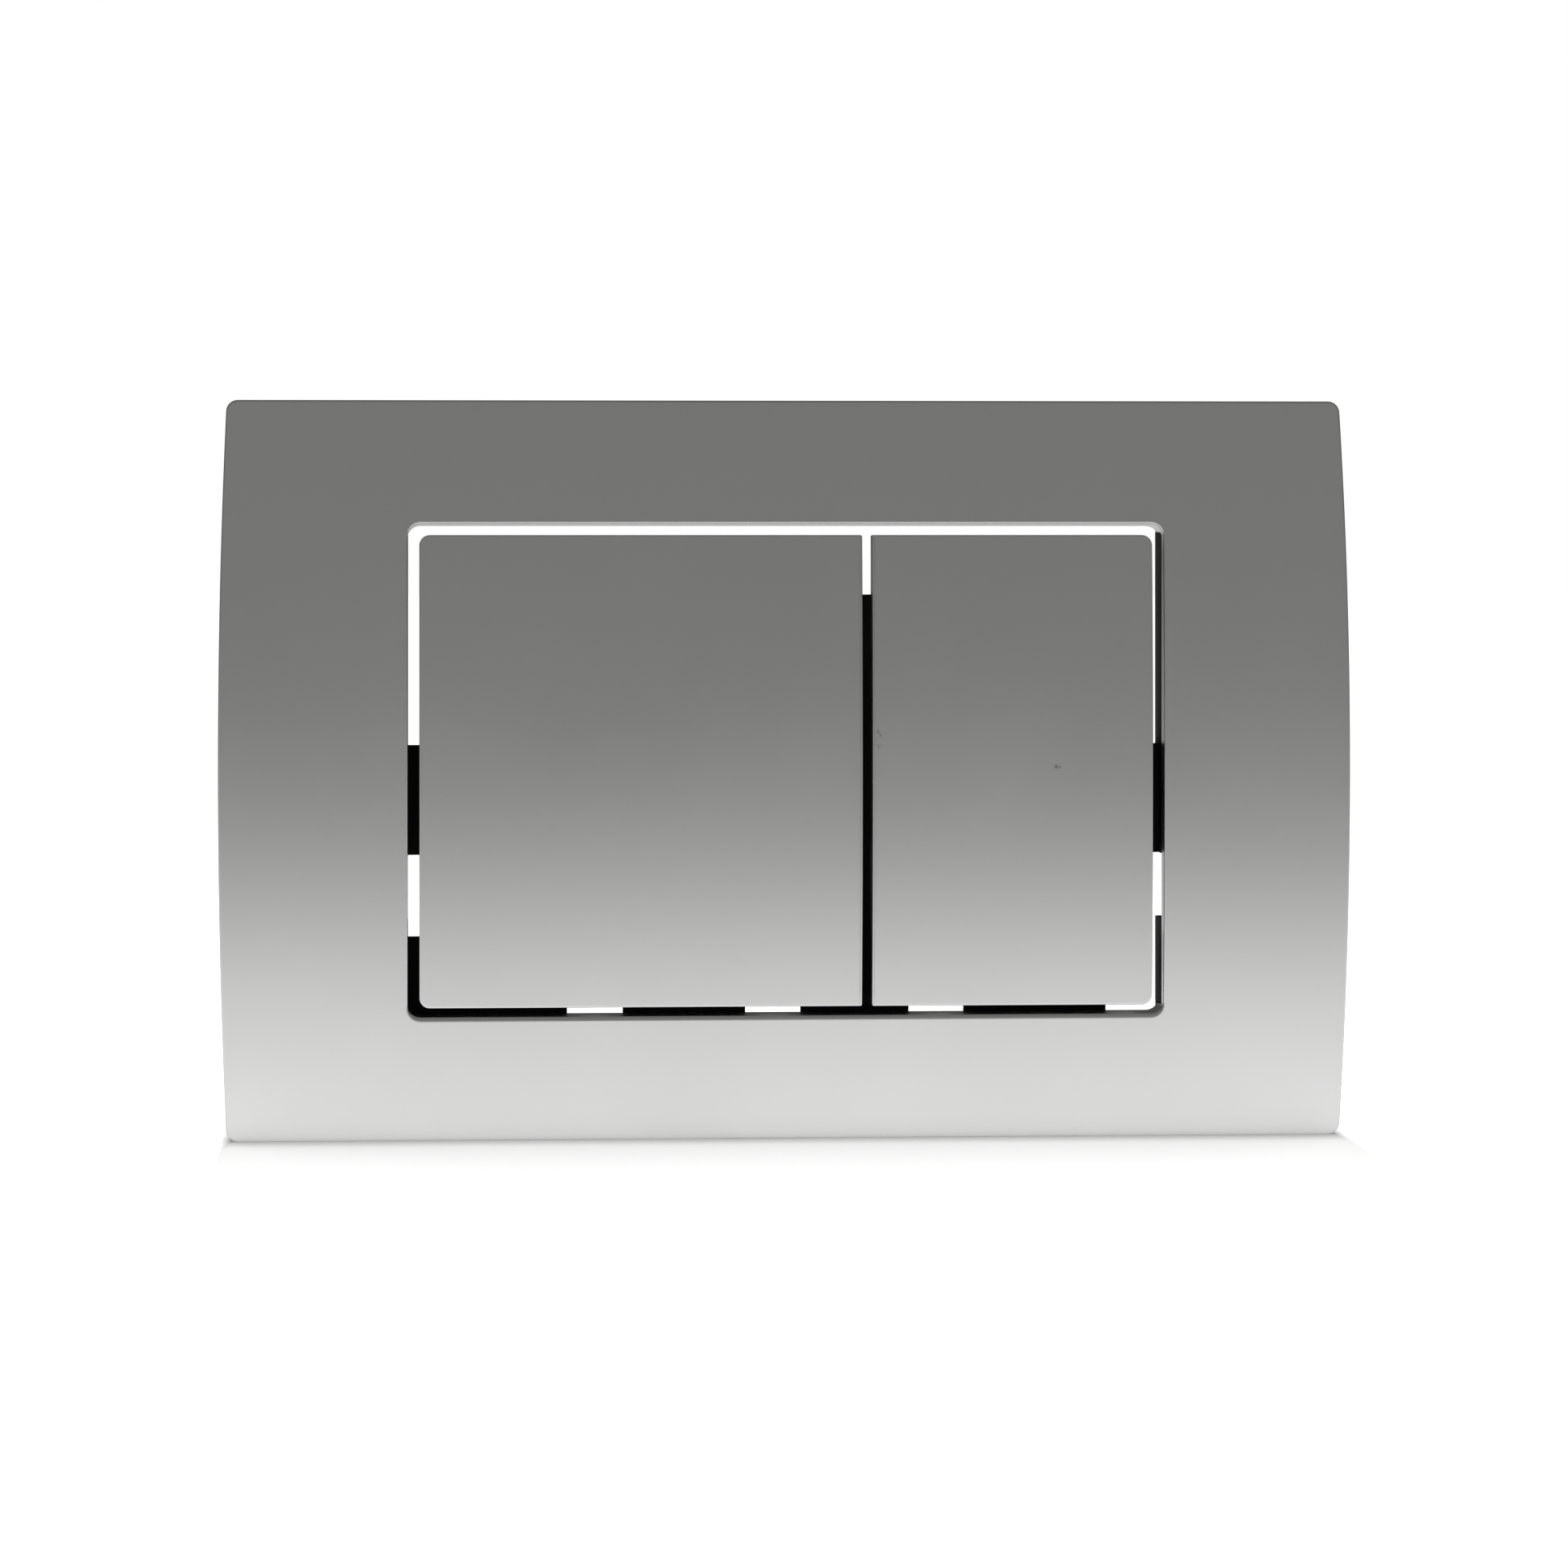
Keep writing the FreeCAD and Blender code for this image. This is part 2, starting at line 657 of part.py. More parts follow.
def button_carrier():
    """The black moulding behind the window: flange, side walls, crossbar, posts, band and guides."""
    outer = rounded_outline("flange_outline", "-flange_side", "flange_side", "-flange_top",
                            "flange_top", ["flange_corner"] * 4)
    inner = rounded_outline("flange_opening", "-flange_inner", "flange_inner",
                            "-flange_inner_top", "flange_inner_top", ["collar_corner"] * 4)
    flange = cut("flange", prism("flange_plate", outer, "flange_front", "flange_rear"),
                 prism("flange_hole", inner, "flange_front - overlap", "flange_rear + overlap"))

    solid = [flange]
    for side in (-1, 1):
        x = ("half_window", "flange_inner") if side > 0 else ("-flange_inner", "-half_window")
        solid.append(block(f"side_wall_{side + 1}", x, ("side_collar_back + fit_gap", "carrier_rear"),
                           ("corner_reach + fit_gap - window_top",
                            "window_top - corner_reach - fit_gap")))
    bar = block("crossbar_block", ("-flange_inner", "flange_inner"),
                ("crossbar_front", "carrier_rear"), ("crossbar_low", "crossbar_high"))
    bar_hollow = block("crossbar_hollow", ("carrier_wall - half_window", "half_window - carrier_wall"),
                       ("crossbar_front + carrier_wall", "overlap"),
                       ("crossbar_low + carrier_wall", "crossbar_high - carrier_wall"))
    solid.append(cut("crossbar", bar, bar_hollow))
    for n in range(CROSSBAR_RIBS):
        middle = f"(half_window - carrier_wall) * {2 * n + 1 - CROSSBAR_RIBS} / {CROSSBAR_RIBS + 1}"
        solid.append(block(f"crossbar_rib_{n}",
                           (f"{middle} - carrier_rib / 2", f"{middle} + carrier_rib / 2"),
                           ("crossbar_front + overlap", "carrier_rear"),
                           ("crossbar_low + overlap", "crossbar_high - overlap")))
    band = block("band", ("-half_window", "half_window - band_end"), ("band_front", "band_rear"),
                 ("-bottom_bar", "band_high"))
    notch_places = ("full_hook_low", "full_hook_high", "half_hook_low", "last_notch")
    notches = [block(f"notch_{n}", (f"{x} - notch_width / 2", f"{x} + notch_width / 2"),
                     ("band_front - overlap", "band_rear + overlap"),
                     ("-flange_inner_top", "notch_high"))
               for n, x in enumerate(notch_places)]
    solid.append(cut("notched_band", band, *notches))
    solid.append(block("bottom_web", ("-half_window", "half_window"), ("flange_front", "band_rear"),
                       ("-bottom_bar", "-flange_inner_top")))
    post = side_profile("post_profile", [
        ("carrier_rear", "crossbar_low"), ("carrier_rear", "post_high"),
        ("post_face", "post_high"), ("post_face", "hinge_z"),
        ("post_foot", "crossbar_high"), ("crossbar_front", "crossbar_low")])
    solid.append(slab("post", post, "post_left", "post_right"))
    solid.append(block("post_tail", ("post_left", "post_right"), ("band_front", "carrier_rear"),
                       ("-bottom_bar", "crossbar_low + overlap")))
    for side in (-1, 1):
        x = ("arm_inner", "arm_outer") if side > 0 else ("-arm_outer", "-arm_inner")
        solid.append(block(f"arm_{side + 1}", x, ("arm_front", "carrier_rear"),
                           ("crossbar_high - overlap", "hinge_z")))
        solid.append(round_bar(f"arm_end_{side + 1}", ACROSS, "hinge_boss", *x,
                               y="hinge_y", z="hinge_z"))
        solid.append(block(f"arm_back_{side + 1}", x, ("hinge_y", "carrier_rear"),
                           ("crossbar_high - overlap", "hinge_z + hinge_boss")))
    for name in ("full", "half"):
        solid.append(round_bar(f"{name}_guide", INWARDS, "guide_radius", "band_front",
                               "pocket_reach", f"{name}_rod_x", z="rod_z"))
    holes = []
    for name in ("full", "half"):
        x = f"{name}_rod_x"
        holes.append(round_bar(f"{name}_pocket", INWARDS, "spring_pocket", "band_front - overlap",
                               "pocket_end", x, z="rod_z"))
        holes.append(round_bar(f"{name}_rod_bore", INWARDS, "rod_radius + rod_running",
                               "pocket_end - overlap", "pocket_reach + overlap", x, z="rod_z"))
    for side in (-1, 1):
        x = ("half_window - overlap", "flange_inner")
        if side < 0:
            x = ("-flange_inner", "overlap - half_window")
        holes.append(block(f"side_notch_{side + 1}", x, ("side_collar_back", "overlap"),
                           ("crossbar_low - side_notch", "crossbar_low")))
    holes.append(round_bar("pin_bore", ACROSS, "pin_radius + pin_grip", "-half_window",
                           "half_window", y="hinge_y", z="hinge_z"))
    for n, (x, z) in enumerate(screw_points()):
        holes.append(round_bar(f"screw_hole_{n}", INWARDS, "screw_radius + fit_gap",
                               "flange_front - overlap", "flange_rear + overlap", x, z=z))
    return cut("button_carrier", joined("carrier_whole", *solid), *holes)


def wall_frame():
    """The frame that is bolted to the wall: a flat ring with an upstand all round its edge."""
    def frame_prism(name, inset, front):
        outline = rounded_outline(name + "_outline", f"{inset} - frame_side", f"frame_side - {inset}",
                                  f"{inset} - frame_top", f"frame_top - {inset}",
                                  [f"frame_corner - {inset}"] * 4)
        return prism(name, outline, front, "0")

    outside = frame_prism("frame_block", "0", "upstand_front")
    tray = frame_prism("frame_tray", "frame_wall", "upstand_front - overlap")
    tray_front = common("frame_tray_front", tray,
                        block("frame_tray_room", ("-plate_width", "plate_width"),
                              ("-plate_depth", "frame_front"), ("-plate_height", "plate_height")))
    opening = block("frame_opening", ("-frame_inner_side", "frame_inner_side"),
                    ("-plate_depth", "overlap"), ("-frame_inner_top", "frame_inner_top"))
    slots = []
    for side in (-1, 1):
        x = signed(side, "bolt_x")
        wide = "bolt_radius + slot_clearance"
        straight = f"slot_length / 2 - ({wide})"
        slots.append(block(f"slot_{side + 1}", (f"{x} - ({wide})", f"{x} + {wide}"),
                           ("-plate_depth", "overlap"), (f"-({straight})", straight)))
        for end in (-1, 1):
            slots.append(round_bar(f"slot_end_{side + 1}_{end + 1}", INWARDS, wide, "-plate_depth",
                                   "overlap", x, z=signed(end, straight)))
    return cut("wall_frame", outside, tray_front, opening, *slots)


def hexagon(name, size, start, thickness, x="0", z="0"):
    """A hexagonal head that runs back from its start; the size is the radius over its corners."""
    head = doc.addObject("Part::Prism", name)
    head.Polygon = 6
    head.Placement.Rotation = INWARDS
    return bind(place(head, x, start, z), Circumradius=size, Height=thickness)


def fixing_bolt(name, side):
    """A bolt with a hexagonal head and a cross recess."""
    x = signed(side, "bolt_x")
    head = hexagon(name + "_head", "bolt_head", "bolt_front", "bolt_head_height", x)
    shank = round_bar(name + "_shank", INWARDS, "bolt_radius", "washer_front - overlap",
                      "bolt_reach", x)
    recess = ("bolt_front - overlap", "bolt_front + bolt_recess")
    narrow = "recess_width / 2"
    long = "recess_length / 2"
    arms = [
        block(name + "_slot_across", (f"{x} - {long}", f"{x} + {long}"), recess,
              ("-" + narrow, narrow)),
        block(name + "_slot_up", (f"{x} - {narrow}", f"{x} + {narrow}"), recess,
              ("-" + long, long)),
    ]
    return cut(name, joined(name + "_whole", head, shank), *arms)


def washer(name, side):
    """A square plate that bridges the slot of the wall frame."""
    x = signed(side, "bolt_x")
    plate = block(name + "_plate", (f"{x} - washer_reach", f"{x} + washer_reach"),
                  ("washer_front", "frame_front"), ("-washer_reach", "washer_reach"))
    hole = round_bar(name + "_hole", INWARDS, "washer_bore", "washer_front - overlap",
                     "frame_front + overlap", x)
    return cut(name, plate, hole)


def push_rod(name, x):
    return turned(name, [
        ("0", "head_front + head_roof"), ("rod_radius", "head_front + head_roof"),
        ("rod_radius", "rod_reach - tip_length"), ("tip_radius", "rod_reach - tip_length"),
        ("tip_radius", "rod_reach"),
        ("0", "rod_reach")], x, "rod_z")


def rod_head(name, x):
    """The cap on the front of a rod: it takes the button's push and carries the spring."""
    head = hexagon(name + "_flange", "head_radius", "head_front", "head_thickness", x, "rod_z")
    hub = round_bar(name + "_hub", INWARDS, "head_hub", "head_front + overlap",
                    "head_back + head_hub_length", x, z="rod_z")
    socket = round_bar(name + "_socket", INWARDS, "rod_radius + thread_gap",
                       "head_front + head_roof - thread_gap",
                       "head_back + head_hub_length + overlap", x, z="rod_z")
    return cut(name, joined(name + "_whole", head, hub), socket)


def rod_spring(name, x):
    """A coil of wire between the end of the guide and the underside of the head."""
    wire = number("spring_wire")
    coil_radius = number("spring_radius")
    start = number("head_back + spring_wire + spring_seat")
    end = number("pocket_end - spring_wire - spring_seat")
    steps = int(number("spring_turns")) * STEPS_PER_TURN
    points = []
    for step in range(steps + 1):
        angle = math.tau * step / STEPS_PER_TURN
        points.append(FreeCAD.Vector(coil_radius * math.cos(angle),
                                     start + (end - start) * step / steps,
                                     coil_radius * math.sin(angle)))
    path = Part.makePolygon(points)
    ring = []
    for corner in range(WIRE_SIDES + 1):
        angle = math.tau * corner / WIRE_SIDES
        ring.append(points[0] + FreeCAD.Vector(wire * math.cos(angle), wire * math.sin(angle), 0))
    section = Part.makePolygon(ring)
    spring = doc.addObject("Part::Feature", name)
    spring.Shape = Part.Wire(path.Edges).makePipeShell([section], True, False, 1)
    spring.Placement.Base = FreeCAD.Vector(number(x), 0, number("rod_z"))
    return spring


def hinge_pin(name, start, end):
    return round_bar(name, ACROSS, "pin_radius", start, end, y="hinge_y", z="hinge_z")


def stop_buffers(name, places_x):
    """The rubber pads on the carrier's band that stop a pressed button."""
    pads = [block(f"{name}_{n}", (f"{x} - buffer_width / 2", f"{x} + buffer_width / 2"),
                  ("buffer_front", "band_front"),
                  ("buffer_z - buffer_height / 2", "buffer_z + buffer_height / 2"))
            for n, x in enumerate(places_x)]
    group = doc.addObject("Part::Compound", name)
    group.Links = pads
    return group


def carrier_screws():
    screws = []
    for n, (x, z) in enumerate(screw_points()):
        shank = round_bar(f"shank_{n}", INWARDS, "screw_radius", "flange_rear - screw_length",
                          "flange_rear + screw_head_height", x, z=z)
        head = hexagon(f"screw_head_{n}", "screw_head", "flange_rear", "screw_head_height", x, z)
        screws.append(joined(f"screw_{n}", shank, head))
    group = doc.addObject("Part::Compound", "carrier_screws")
    group.Links = screws
    return group


def retaining_clip(name, side, row):
    """A strip of spring steel bent over the upstand, with a nose that holds the skirt's lug."""
    inner = "frame_top - frame_wall - clip_gap"
    outer = "frame_top + clip_gap"
    nose = "half_height - shell_wall - clip_gap - clip_gap"
    points = [
        ("frame_front - clip_gap", inner + " - clip_metal"), ("clip_top", inner + " - clip_metal"),
        ("clip_top", outer + " + clip_metal"),
        ("catch_front - clip_nose - clip_gap", outer + " + clip_metal"),
        ("catch_front - clip_gap", nose),
        ("catch_front - clip_gap", nose + " - clip_metal - clip_metal"),
        ("clip_tip", outer + " + clip_metal"),
        ("clip_tip", outer), ("upstand_front - clip_gap", outer),
        ("upstand_front - clip_gap", inner), ("frame_front - clip_gap", inner)]
    outline = side_profile(name + "_profile", points)
    middle = signed(side, "clip_spacing / 2")
    strip = slab(name + "_strip", outline, f"{middle} - clip_width / 2", f"{middle} + clip_width / 2")
    if row > 0:
        return strip
    below = doc.addObject("Part::Mirroring", name)
    below.Source = strip
    below.Normal = FreeCAD.Vector(0, 0, 1)
    return below


def full_ears():
    left = "ear_gap - arm_inner"
    right = "post_left - ear_gap - ear_thickness"
    return [(left, left + " + ear_thickness"), (right, right + " + ear_thickness")]


def half_ears():
    left = "post_right + ear_gap"
    right = "arm_inner - ear_gap - ear_thickness"
    return [(left, left + " + ear_thickness"), (right, right + " + ear_thickness")]


def pieces():
    """Every separate piece of the flush plate, keyed by its name."""
    made = {
        "cover_plate": cover_plate(),
        "full_flush_button": button(
            "full_flush_button", "-button_edge", "full_inner",
            ["button_corner", "inner_corner", "inner_corner", "button_corner"], full_ears(),
            ("full_hook_low - rib_beside_hook", "full_hook_high + rib_beside_hook"), "full_rod_x",
            ("full_hook_low", "full_hook_high")),
        "half_flush_button": button(
            "half_flush_button", "half_inner", "button_edge",
            ["inner_corner", "button_corner", "button_corner", "inner_corner"], half_ears(),
            ("half_hook_high - rib_beside_hook",), "half_rod_x",
            ("half_hook_low", "half_hook_high")),
        "button_carrier": button_carrier(),
        "wall_frame": wall_frame(),
        "full_hinge_pin": hinge_pin("full_hinge_pin", "fit_gap - arm_outer", "gap_middle - fit_gap"),
        "half_hinge_pin": hinge_pin("half_hinge_pin", "gap_middle + fit_gap", "arm_outer - fit_gap"),
        "full_stop_buffers": stop_buffers("full_stop_buffers", ("full_hook_low", "full_hook_high")),
        "half_stop_buffers": stop_buffers(
            "half_stop_buffers", ("half_hook_low", "button_edge - last_buffer_inset")),
        "carrier_screws": carrier_screws(),
    }
    for name in ("full", "half"):
        made[name + "_push_rod"] = push_rod(name + "_push_rod", name + "_rod_x")
        made[name + "_rod_head"] = rod_head(name + "_rod_head", name + "_rod_x")
        made[name + "_rod_spring"] = rod_spring(name + "_rod_spring", name + "_rod_x")
    for side, word in ((-1, "left"), (1, "right")):
        made[word + "_fixing_bolt"] = fixing_bolt(word + "_fixing_bolt", side)
        made[word + "_bolt_washer"] = washer(word + "_bolt_washer", side)
        for row, height in ((1, "upper"), (-1, "lower")):
            name = f"{height}_{word}_clip"
            made[name] = retaining_clip(name, side, row)
    return made


def check(made):
    """Stops if any feature has failed, or if a piece is not sound."""
    for thing in doc.Objects:
        if "Invalid" in thing.State or "Error" in thing.State:
            raise RuntimeError(f"{thing.Label} failed: {thing.State}")
    for name, piece in made.items():
        if piece.Shape.isNull() or not piece.Shape.isValid() or not piece.Shape.Solids:
            raise RuntimeError(f"{name} is not a sound solid")


def write(made):
    os.makedirs("parts", exist_ok=True)
    for name, piece in made.items():
        piece.Label = name
        piece.Shape.exportStep(f"parts/{name}.step")
        box = piece.Shape.BoundBox
        print(f"{name}: {len(piece.Shape.Solids)} solid(s), {piece.Shape.Volume / 1000:.2f} cm3, "
              f"{box.XLength:.1f} x {box.YLength:.1f} x {box.ZLength:.1f} mm")


made = pieces()
doc.recompute()
check(made)
write(made)
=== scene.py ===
"""Looks of the dual flush plate: chrome faces, inner mouldings, finishes, light and camera."""
import math

import bmesh
import bpy
from mathutils import Matrix, Vector


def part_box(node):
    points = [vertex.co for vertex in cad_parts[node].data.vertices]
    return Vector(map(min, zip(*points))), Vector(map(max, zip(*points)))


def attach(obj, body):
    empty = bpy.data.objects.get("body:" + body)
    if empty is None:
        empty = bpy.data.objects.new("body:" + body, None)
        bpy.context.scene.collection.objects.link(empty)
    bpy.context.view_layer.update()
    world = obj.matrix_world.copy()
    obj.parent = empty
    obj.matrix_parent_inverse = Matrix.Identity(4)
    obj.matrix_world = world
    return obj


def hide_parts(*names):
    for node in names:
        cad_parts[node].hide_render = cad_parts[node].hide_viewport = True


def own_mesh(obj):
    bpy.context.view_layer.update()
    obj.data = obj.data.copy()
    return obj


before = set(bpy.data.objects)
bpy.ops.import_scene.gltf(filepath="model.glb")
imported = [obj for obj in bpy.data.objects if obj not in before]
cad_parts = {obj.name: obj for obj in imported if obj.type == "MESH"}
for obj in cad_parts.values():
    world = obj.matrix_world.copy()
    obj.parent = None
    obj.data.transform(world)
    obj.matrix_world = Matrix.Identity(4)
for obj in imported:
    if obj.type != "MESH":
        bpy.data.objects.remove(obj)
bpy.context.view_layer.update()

MM = 0.001
X, Y, Z = 0, 1, 2


def packed(node):
    """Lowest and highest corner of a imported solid, in millimetres."""
    return [[round(value / MM, 3) for value in corner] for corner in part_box(node)]


def middle(node, axis):
    """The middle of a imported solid's box along an axis, in millimetres."""
    low, high = packed(node)
    return round((low[axis] + high[axis]) / 2, 3)


# Sizes are in millimetres: X to the right, Z up, and the wall at Y = 0.
PLATE_LOW, PLATE_HIGH = packed("cover_plate")
FULL_LOW, FULL_HIGH = packed("full_flush_button")
HALF_LOW, HALF_HIGH = packed("half_flush_button")

# Front plate
HALF_PLATE = PLATE_HIGH[X]
HALF_HEIGHT = PLATE_HIGH[Z]
PLATE_DEPTH = -PLATE_LOW[Y]
SIDE_BOW = 1.75
PLATE_CORNER = 2.4
CROWN_RADIUS = 666.7
SHELL_WALL = 2.2
PLATE_ROUND = 0.45

# Buttons. Their upper edges, and the window's, are seen a little lower than the solids have them.
BUTTON_EDGE = HALF_HIGH[X]
BUTTON_TOP = FULL_HIGH[Z]
TOP_DROP = 0.45
BUTTON_HIGH = BUTTON_TOP - TOP_DROP
BUTTON_DEPTH = 6.0
BUTTON_BACK = BUTTON_DEPTH - PLATE_DEPTH
BUTTON_WALL = 2.0
BUTTON_SIDE_WALL = 1.5
BUTTON_ROUND = 0.3
BUTTON_CORNER = 2.3
INNER_CORNER = 0.45
SHARPEST_CORNER = 0.3

# Window in the plate, and the collar behind its rim
BUTTON_GAP = 2.5
HALF_WINDOW = BUTTON_EDGE + BUTTON_GAP
WINDOW_TOP = BUTTON_TOP + BUTTON_GAP
WINDOW_HIGH = WINDOW_TOP - TOP_DROP
WINDOW_CORNER = 2.8
RIM_REACH = 5.0
SILL_LIP = 0.5
LINTEL_LEAN = 0.55
COLLAR_WALL = 1.8
COLLAR_BACK = -5.04
SIDE_COLLAR_DEPTH = 5.0
SIDE_COLLAR_BACK = SIDE_COLLAR_DEPTH - PLATE_DEPTH
SIDE_COLLAR_MARGIN = 2.1
SIDE_COLLAR_TOP = WINDOW_TOP - SIDE_COLLAR_MARGIN
COLLAR_STEP = 0.05

# Hinge pins (depth, height), and the places of the push rods
HINGE = (middle("full_hinge_pin", Y), middle("full_hinge_pin", Z))
PIN_RADIUS = 1.5
ROD_Z = middle("full_rod_head", Z)
FULL_ROD_X = middle("full_rod_head", X)
HALF_ROD_X = middle("half_rod_head", X)

# Blocks on the crowned face start this far behind it.
BLOCK_START = 1.0

# Thread ridge: how deep its foot is sunk, and where its foot and crest lie in shares of the pitch
THREAD_SINK = 0.12
THREAD_FOOT = (0, 0.86)
THREAD_CREST = (0.32, 0.54)

# Steps of the meshes
HOLDING_LINE = 0.25
ROUND_STEPS = 4
CORNER_STEPS = 8
ROUND_SIDES = 32
LEVEL_STEP = 4.0
BOW_CUTS = 39
SHARP_ANGLE = math.radians(33)


def crown(z, wall=0.0):
    """Depth of the crowned face at a height; the wall is how far behind the face."""
    radius = CROWN_RADIUS - wall
    return CROWN_RADIUS - PLATE_DEPTH - math.sqrt(radius * radius - z * z)


def bow(z):
    """How far the plate's side stands back from its widest point at a height."""
    radius = (HALF_HEIGHT ** 2 + SIDE_BOW ** 2) / (2 * SIDE_BOW)
    return radius - math.sqrt(radius * radius - z * z)


def rounded_rectangle(mesh, left, right, low, high, radii):
    """A flat face on the XZ plane; the radii run anticlockwise from the lower left corner."""
    places = ((left, low), (right, low), (right, high), (left, high))
    mesh.faces.new([mesh.verts.new((x, 0, z)) for x, z in places])
    for (x, z), radius in zip(places, radii):
        corner = min(mesh.verts, key=lambda vert: math.hypot(vert.co.x - x, vert.co.z - z))
        bmesh.ops.bevel(mesh, geom=[corner], offset=radius, offset_type="OFFSET",
                        segments=CORNER_STEPS, profile=0.5, affect="VERTICES", material=-1)


def bowed_rectangle(mesh, inset):
    """The plate's outline on the XZ plane, with its sides bowed outwards."""
    top = HALF_HEIGHT - inset
    side = HALF_PLATE - inset
    places = ((-side, -top), (side, -top), (side, top), (-side, top))
    mesh.faces.new([mesh.verts.new((x, 0, z)) for x, z in places])
    upright = [edge for edge in mesh.edges if abs(edge.verts[0].co.x - edge.verts[1].co.x) < 1]
    bmesh.ops.subdivide_edges(mesh, edges=upright, cuts=BOW_CUTS)
    bmesh.ops.dissolve_faces(mesh, faces=mesh.faces[:])
    for vert in mesh.verts:
        vert.co.x -= math.copysign(bow(vert.co.z), vert.co.x)
    corners = [vert for vert in mesh.verts if abs(abs(vert.co.z) - top) < 1e-4]
    bmesh.ops.bevel(mesh, geom=corners, offset=PLATE_CORNER, offset_type="OFFSET",
                    segments=CORNER_STEPS, profile=0.5, affect="VERTICES", material=-1)


def roll_edge(mesh, radius):
    """Rounds the border of a flat sheet forwards, and adds a line that keeps the face flat."""
    region = mesh.faces[:]
    for vert in mesh.verts:
        vert.co.y += radius
    for step in range(ROUND_STEPS):
        start = math.radians(90) * step / ROUND_STEPS
        end = math.radians(90) * (step + 1) / ROUND_STEPS
        inwards = radius * (math.cos(start) - math.cos(end))
        bmesh.ops.inset_region(mesh, faces=region, thickness=inwards,
                               use_boundary=True, use_even_offset=True)
        rise = radius * (math.sin(end) - math.sin(start))
        moved = {vert for face in region for vert in face.verts}
        for vert in moved:
            vert.co.y -= rise
    bmesh.ops.inset_region(mesh, faces=region, thickness=HOLDING_LINE,
                           use_boundary=True, use_even_offset=True)


def at_window(place):
    """Whether a point lies at the window's rim, and not at the plate's outer edge."""
    return abs(place.x) < HALF_WINDOW + RIM_REACH and abs(place.z) < WINDOW_TOP + RIM_REACH


def in_window(edge):
    return all(at_window(vert.co) for vert in edge.verts)


def widen_sill(mesh, radius):
    """Widens the rounding of the window's rim along its lower edge."""
    for vert in mesh.verts:
        past_corner = WINDOW_CORNER - WINDOW_TOP - vert.co.z
        if at_window(vert.co) and vert.co.y > 0 and past_corner > 0:
            vert.co.z += SILL_LIP * min(1, past_corner / WINDOW_CORNER) * vert.co.y / radius


def cut_levels(mesh, top, extra=()):
    """Cuts the sheet along many heights, so that it can take the crown."""
    count = int(top // LEVEL_STEP)
    levels = [LEVEL_STEP * n for n in range(-count, count + 1)] + list(extra)
    for level in levels:
        bmesh.ops.bisect_plane(mesh, geom=mesh.verts[:] + mesh.edges[:] + mesh.faces[:], dist=1e-5,
                               plane_co=(0, 0, level), plane_no=(0, 0, 1))


def take_crown(mesh, wall):
    for vert in mesh.verts:
        vert.co.y += crown(vert.co.z, wall)


def border(mesh):
    return [edge for edge in mesh.edges if edge.is_boundary]


def draw_back(mesh, edges, place):
    """Extrudes a border back to the depth that place gives for each point."""
    grown = bmesh.ops.extrude_edge_only(mesh, edges=edges)["geom"]
    for item in grown:
        if isinstance(item, bmesh.types.BMVert):
            item.co.y = place(item.co)
    return [item for item in grown if isinstance(item, bmesh.types.BMEdge) and item.is_boundary]


def edges_at(verts):
    """Every edge that meets the points, once each and in a fixed order."""
    return list(dict.fromkeys(edge for vert in verts for edge in vert.link_edges))


def bevelled_block(mesh, x, y, z, soft=0.15, on_crown=False):
    """A block with softened edges; on_crown makes its front follow the crowned face."""
    made = bmesh.ops.create_cube(mesh, size=1)["verts"]
    for vert in made:
        vert.co.x = x[1] if vert.co.x > 0 else x[0]
        vert.co.z = z[1] if vert.co.z > 0 else z[0]
        front = crown(vert.co.z) + BLOCK_START if on_crown else y[0]
        vert.co.y = y[1] if vert.co.y > 0 else front
    bmesh.ops.bevel(mesh, geom=edges_at(made), offset=soft, offset_type="OFFSET", segments=2,
                    profile=0.5, affect="EDGES", material=-1)


def round_bar(mesh, centre, radius, along, start, end, sides=ROUND_SIDES, soft=0.2):
    """A round bar along X or Y with softened ends."""
    made = bmesh.ops.create_cone(mesh, cap_ends=True, segments=sides, radius1=radius,
                                 radius2=radius, depth=end - start)["verts"]
    if along == "Y":
        turn = Matrix.Rotation(math.radians(90), 4, "X")
        where = Vector((centre[0], (start + end) / 2, centre[1]))
    else:
        turn = Matrix.Rotation(math.radians(90), 4, "Y")
        where = Vector(((start + end) / 2, centre[0], centre[1]))
    bmesh.ops.transform(mesh, matrix=Matrix.Translation(where) @ turn, verts=made)
    rims = [edge for edge in edges_at(made) if any(len(face.verts) > 4 for face in edge.link_faces)]
    bmesh.ops.bevel(mesh, geom=rims, offset=soft, offset_type="OFFSET", segments=3,
                    profile=0.5, affect="EDGES", material=-1)


def tube(mesh, x, z, outer, inner, front, back, floor_depth):
    """A round boss with a blind hole in its rear end."""
    made = bmesh.ops.create_circle(mesh, cap_ends=True, radius=outer, segments=ROUND_SIDES)["verts"]
    turn = Matrix.Translation((x, front, z)) @ Matrix.Rotation(math.radians(90), 4, "X")
    bmesh.ops.transform(mesh, matrix=turn, verts=made)
    top = push_along(mesh, list(made[0].link_faces), back - front)
    bmesh.ops.inset_region(mesh, faces=top, thickness=outer - inner, use_even_offset=True)
    push_along(mesh, top, floor_depth - back)
    bmesh.ops.delete(mesh, geom=top, context="FACES_ONLY")


def push_along(mesh, faces, step):
    """Extrudes faces by a step in depth and returns the moved faces."""
    grown = bmesh.ops.extrude_face_region(mesh, geom=faces)["geom"]
    moved = [item for item in grown if isinstance(item, bmesh.types.BMVert)]
    bmesh.ops.translate(mesh, vec=(0, step, 0), verts=moved)
    return [item for item in grown if isinstance(item, bmesh.types.BMFace)]


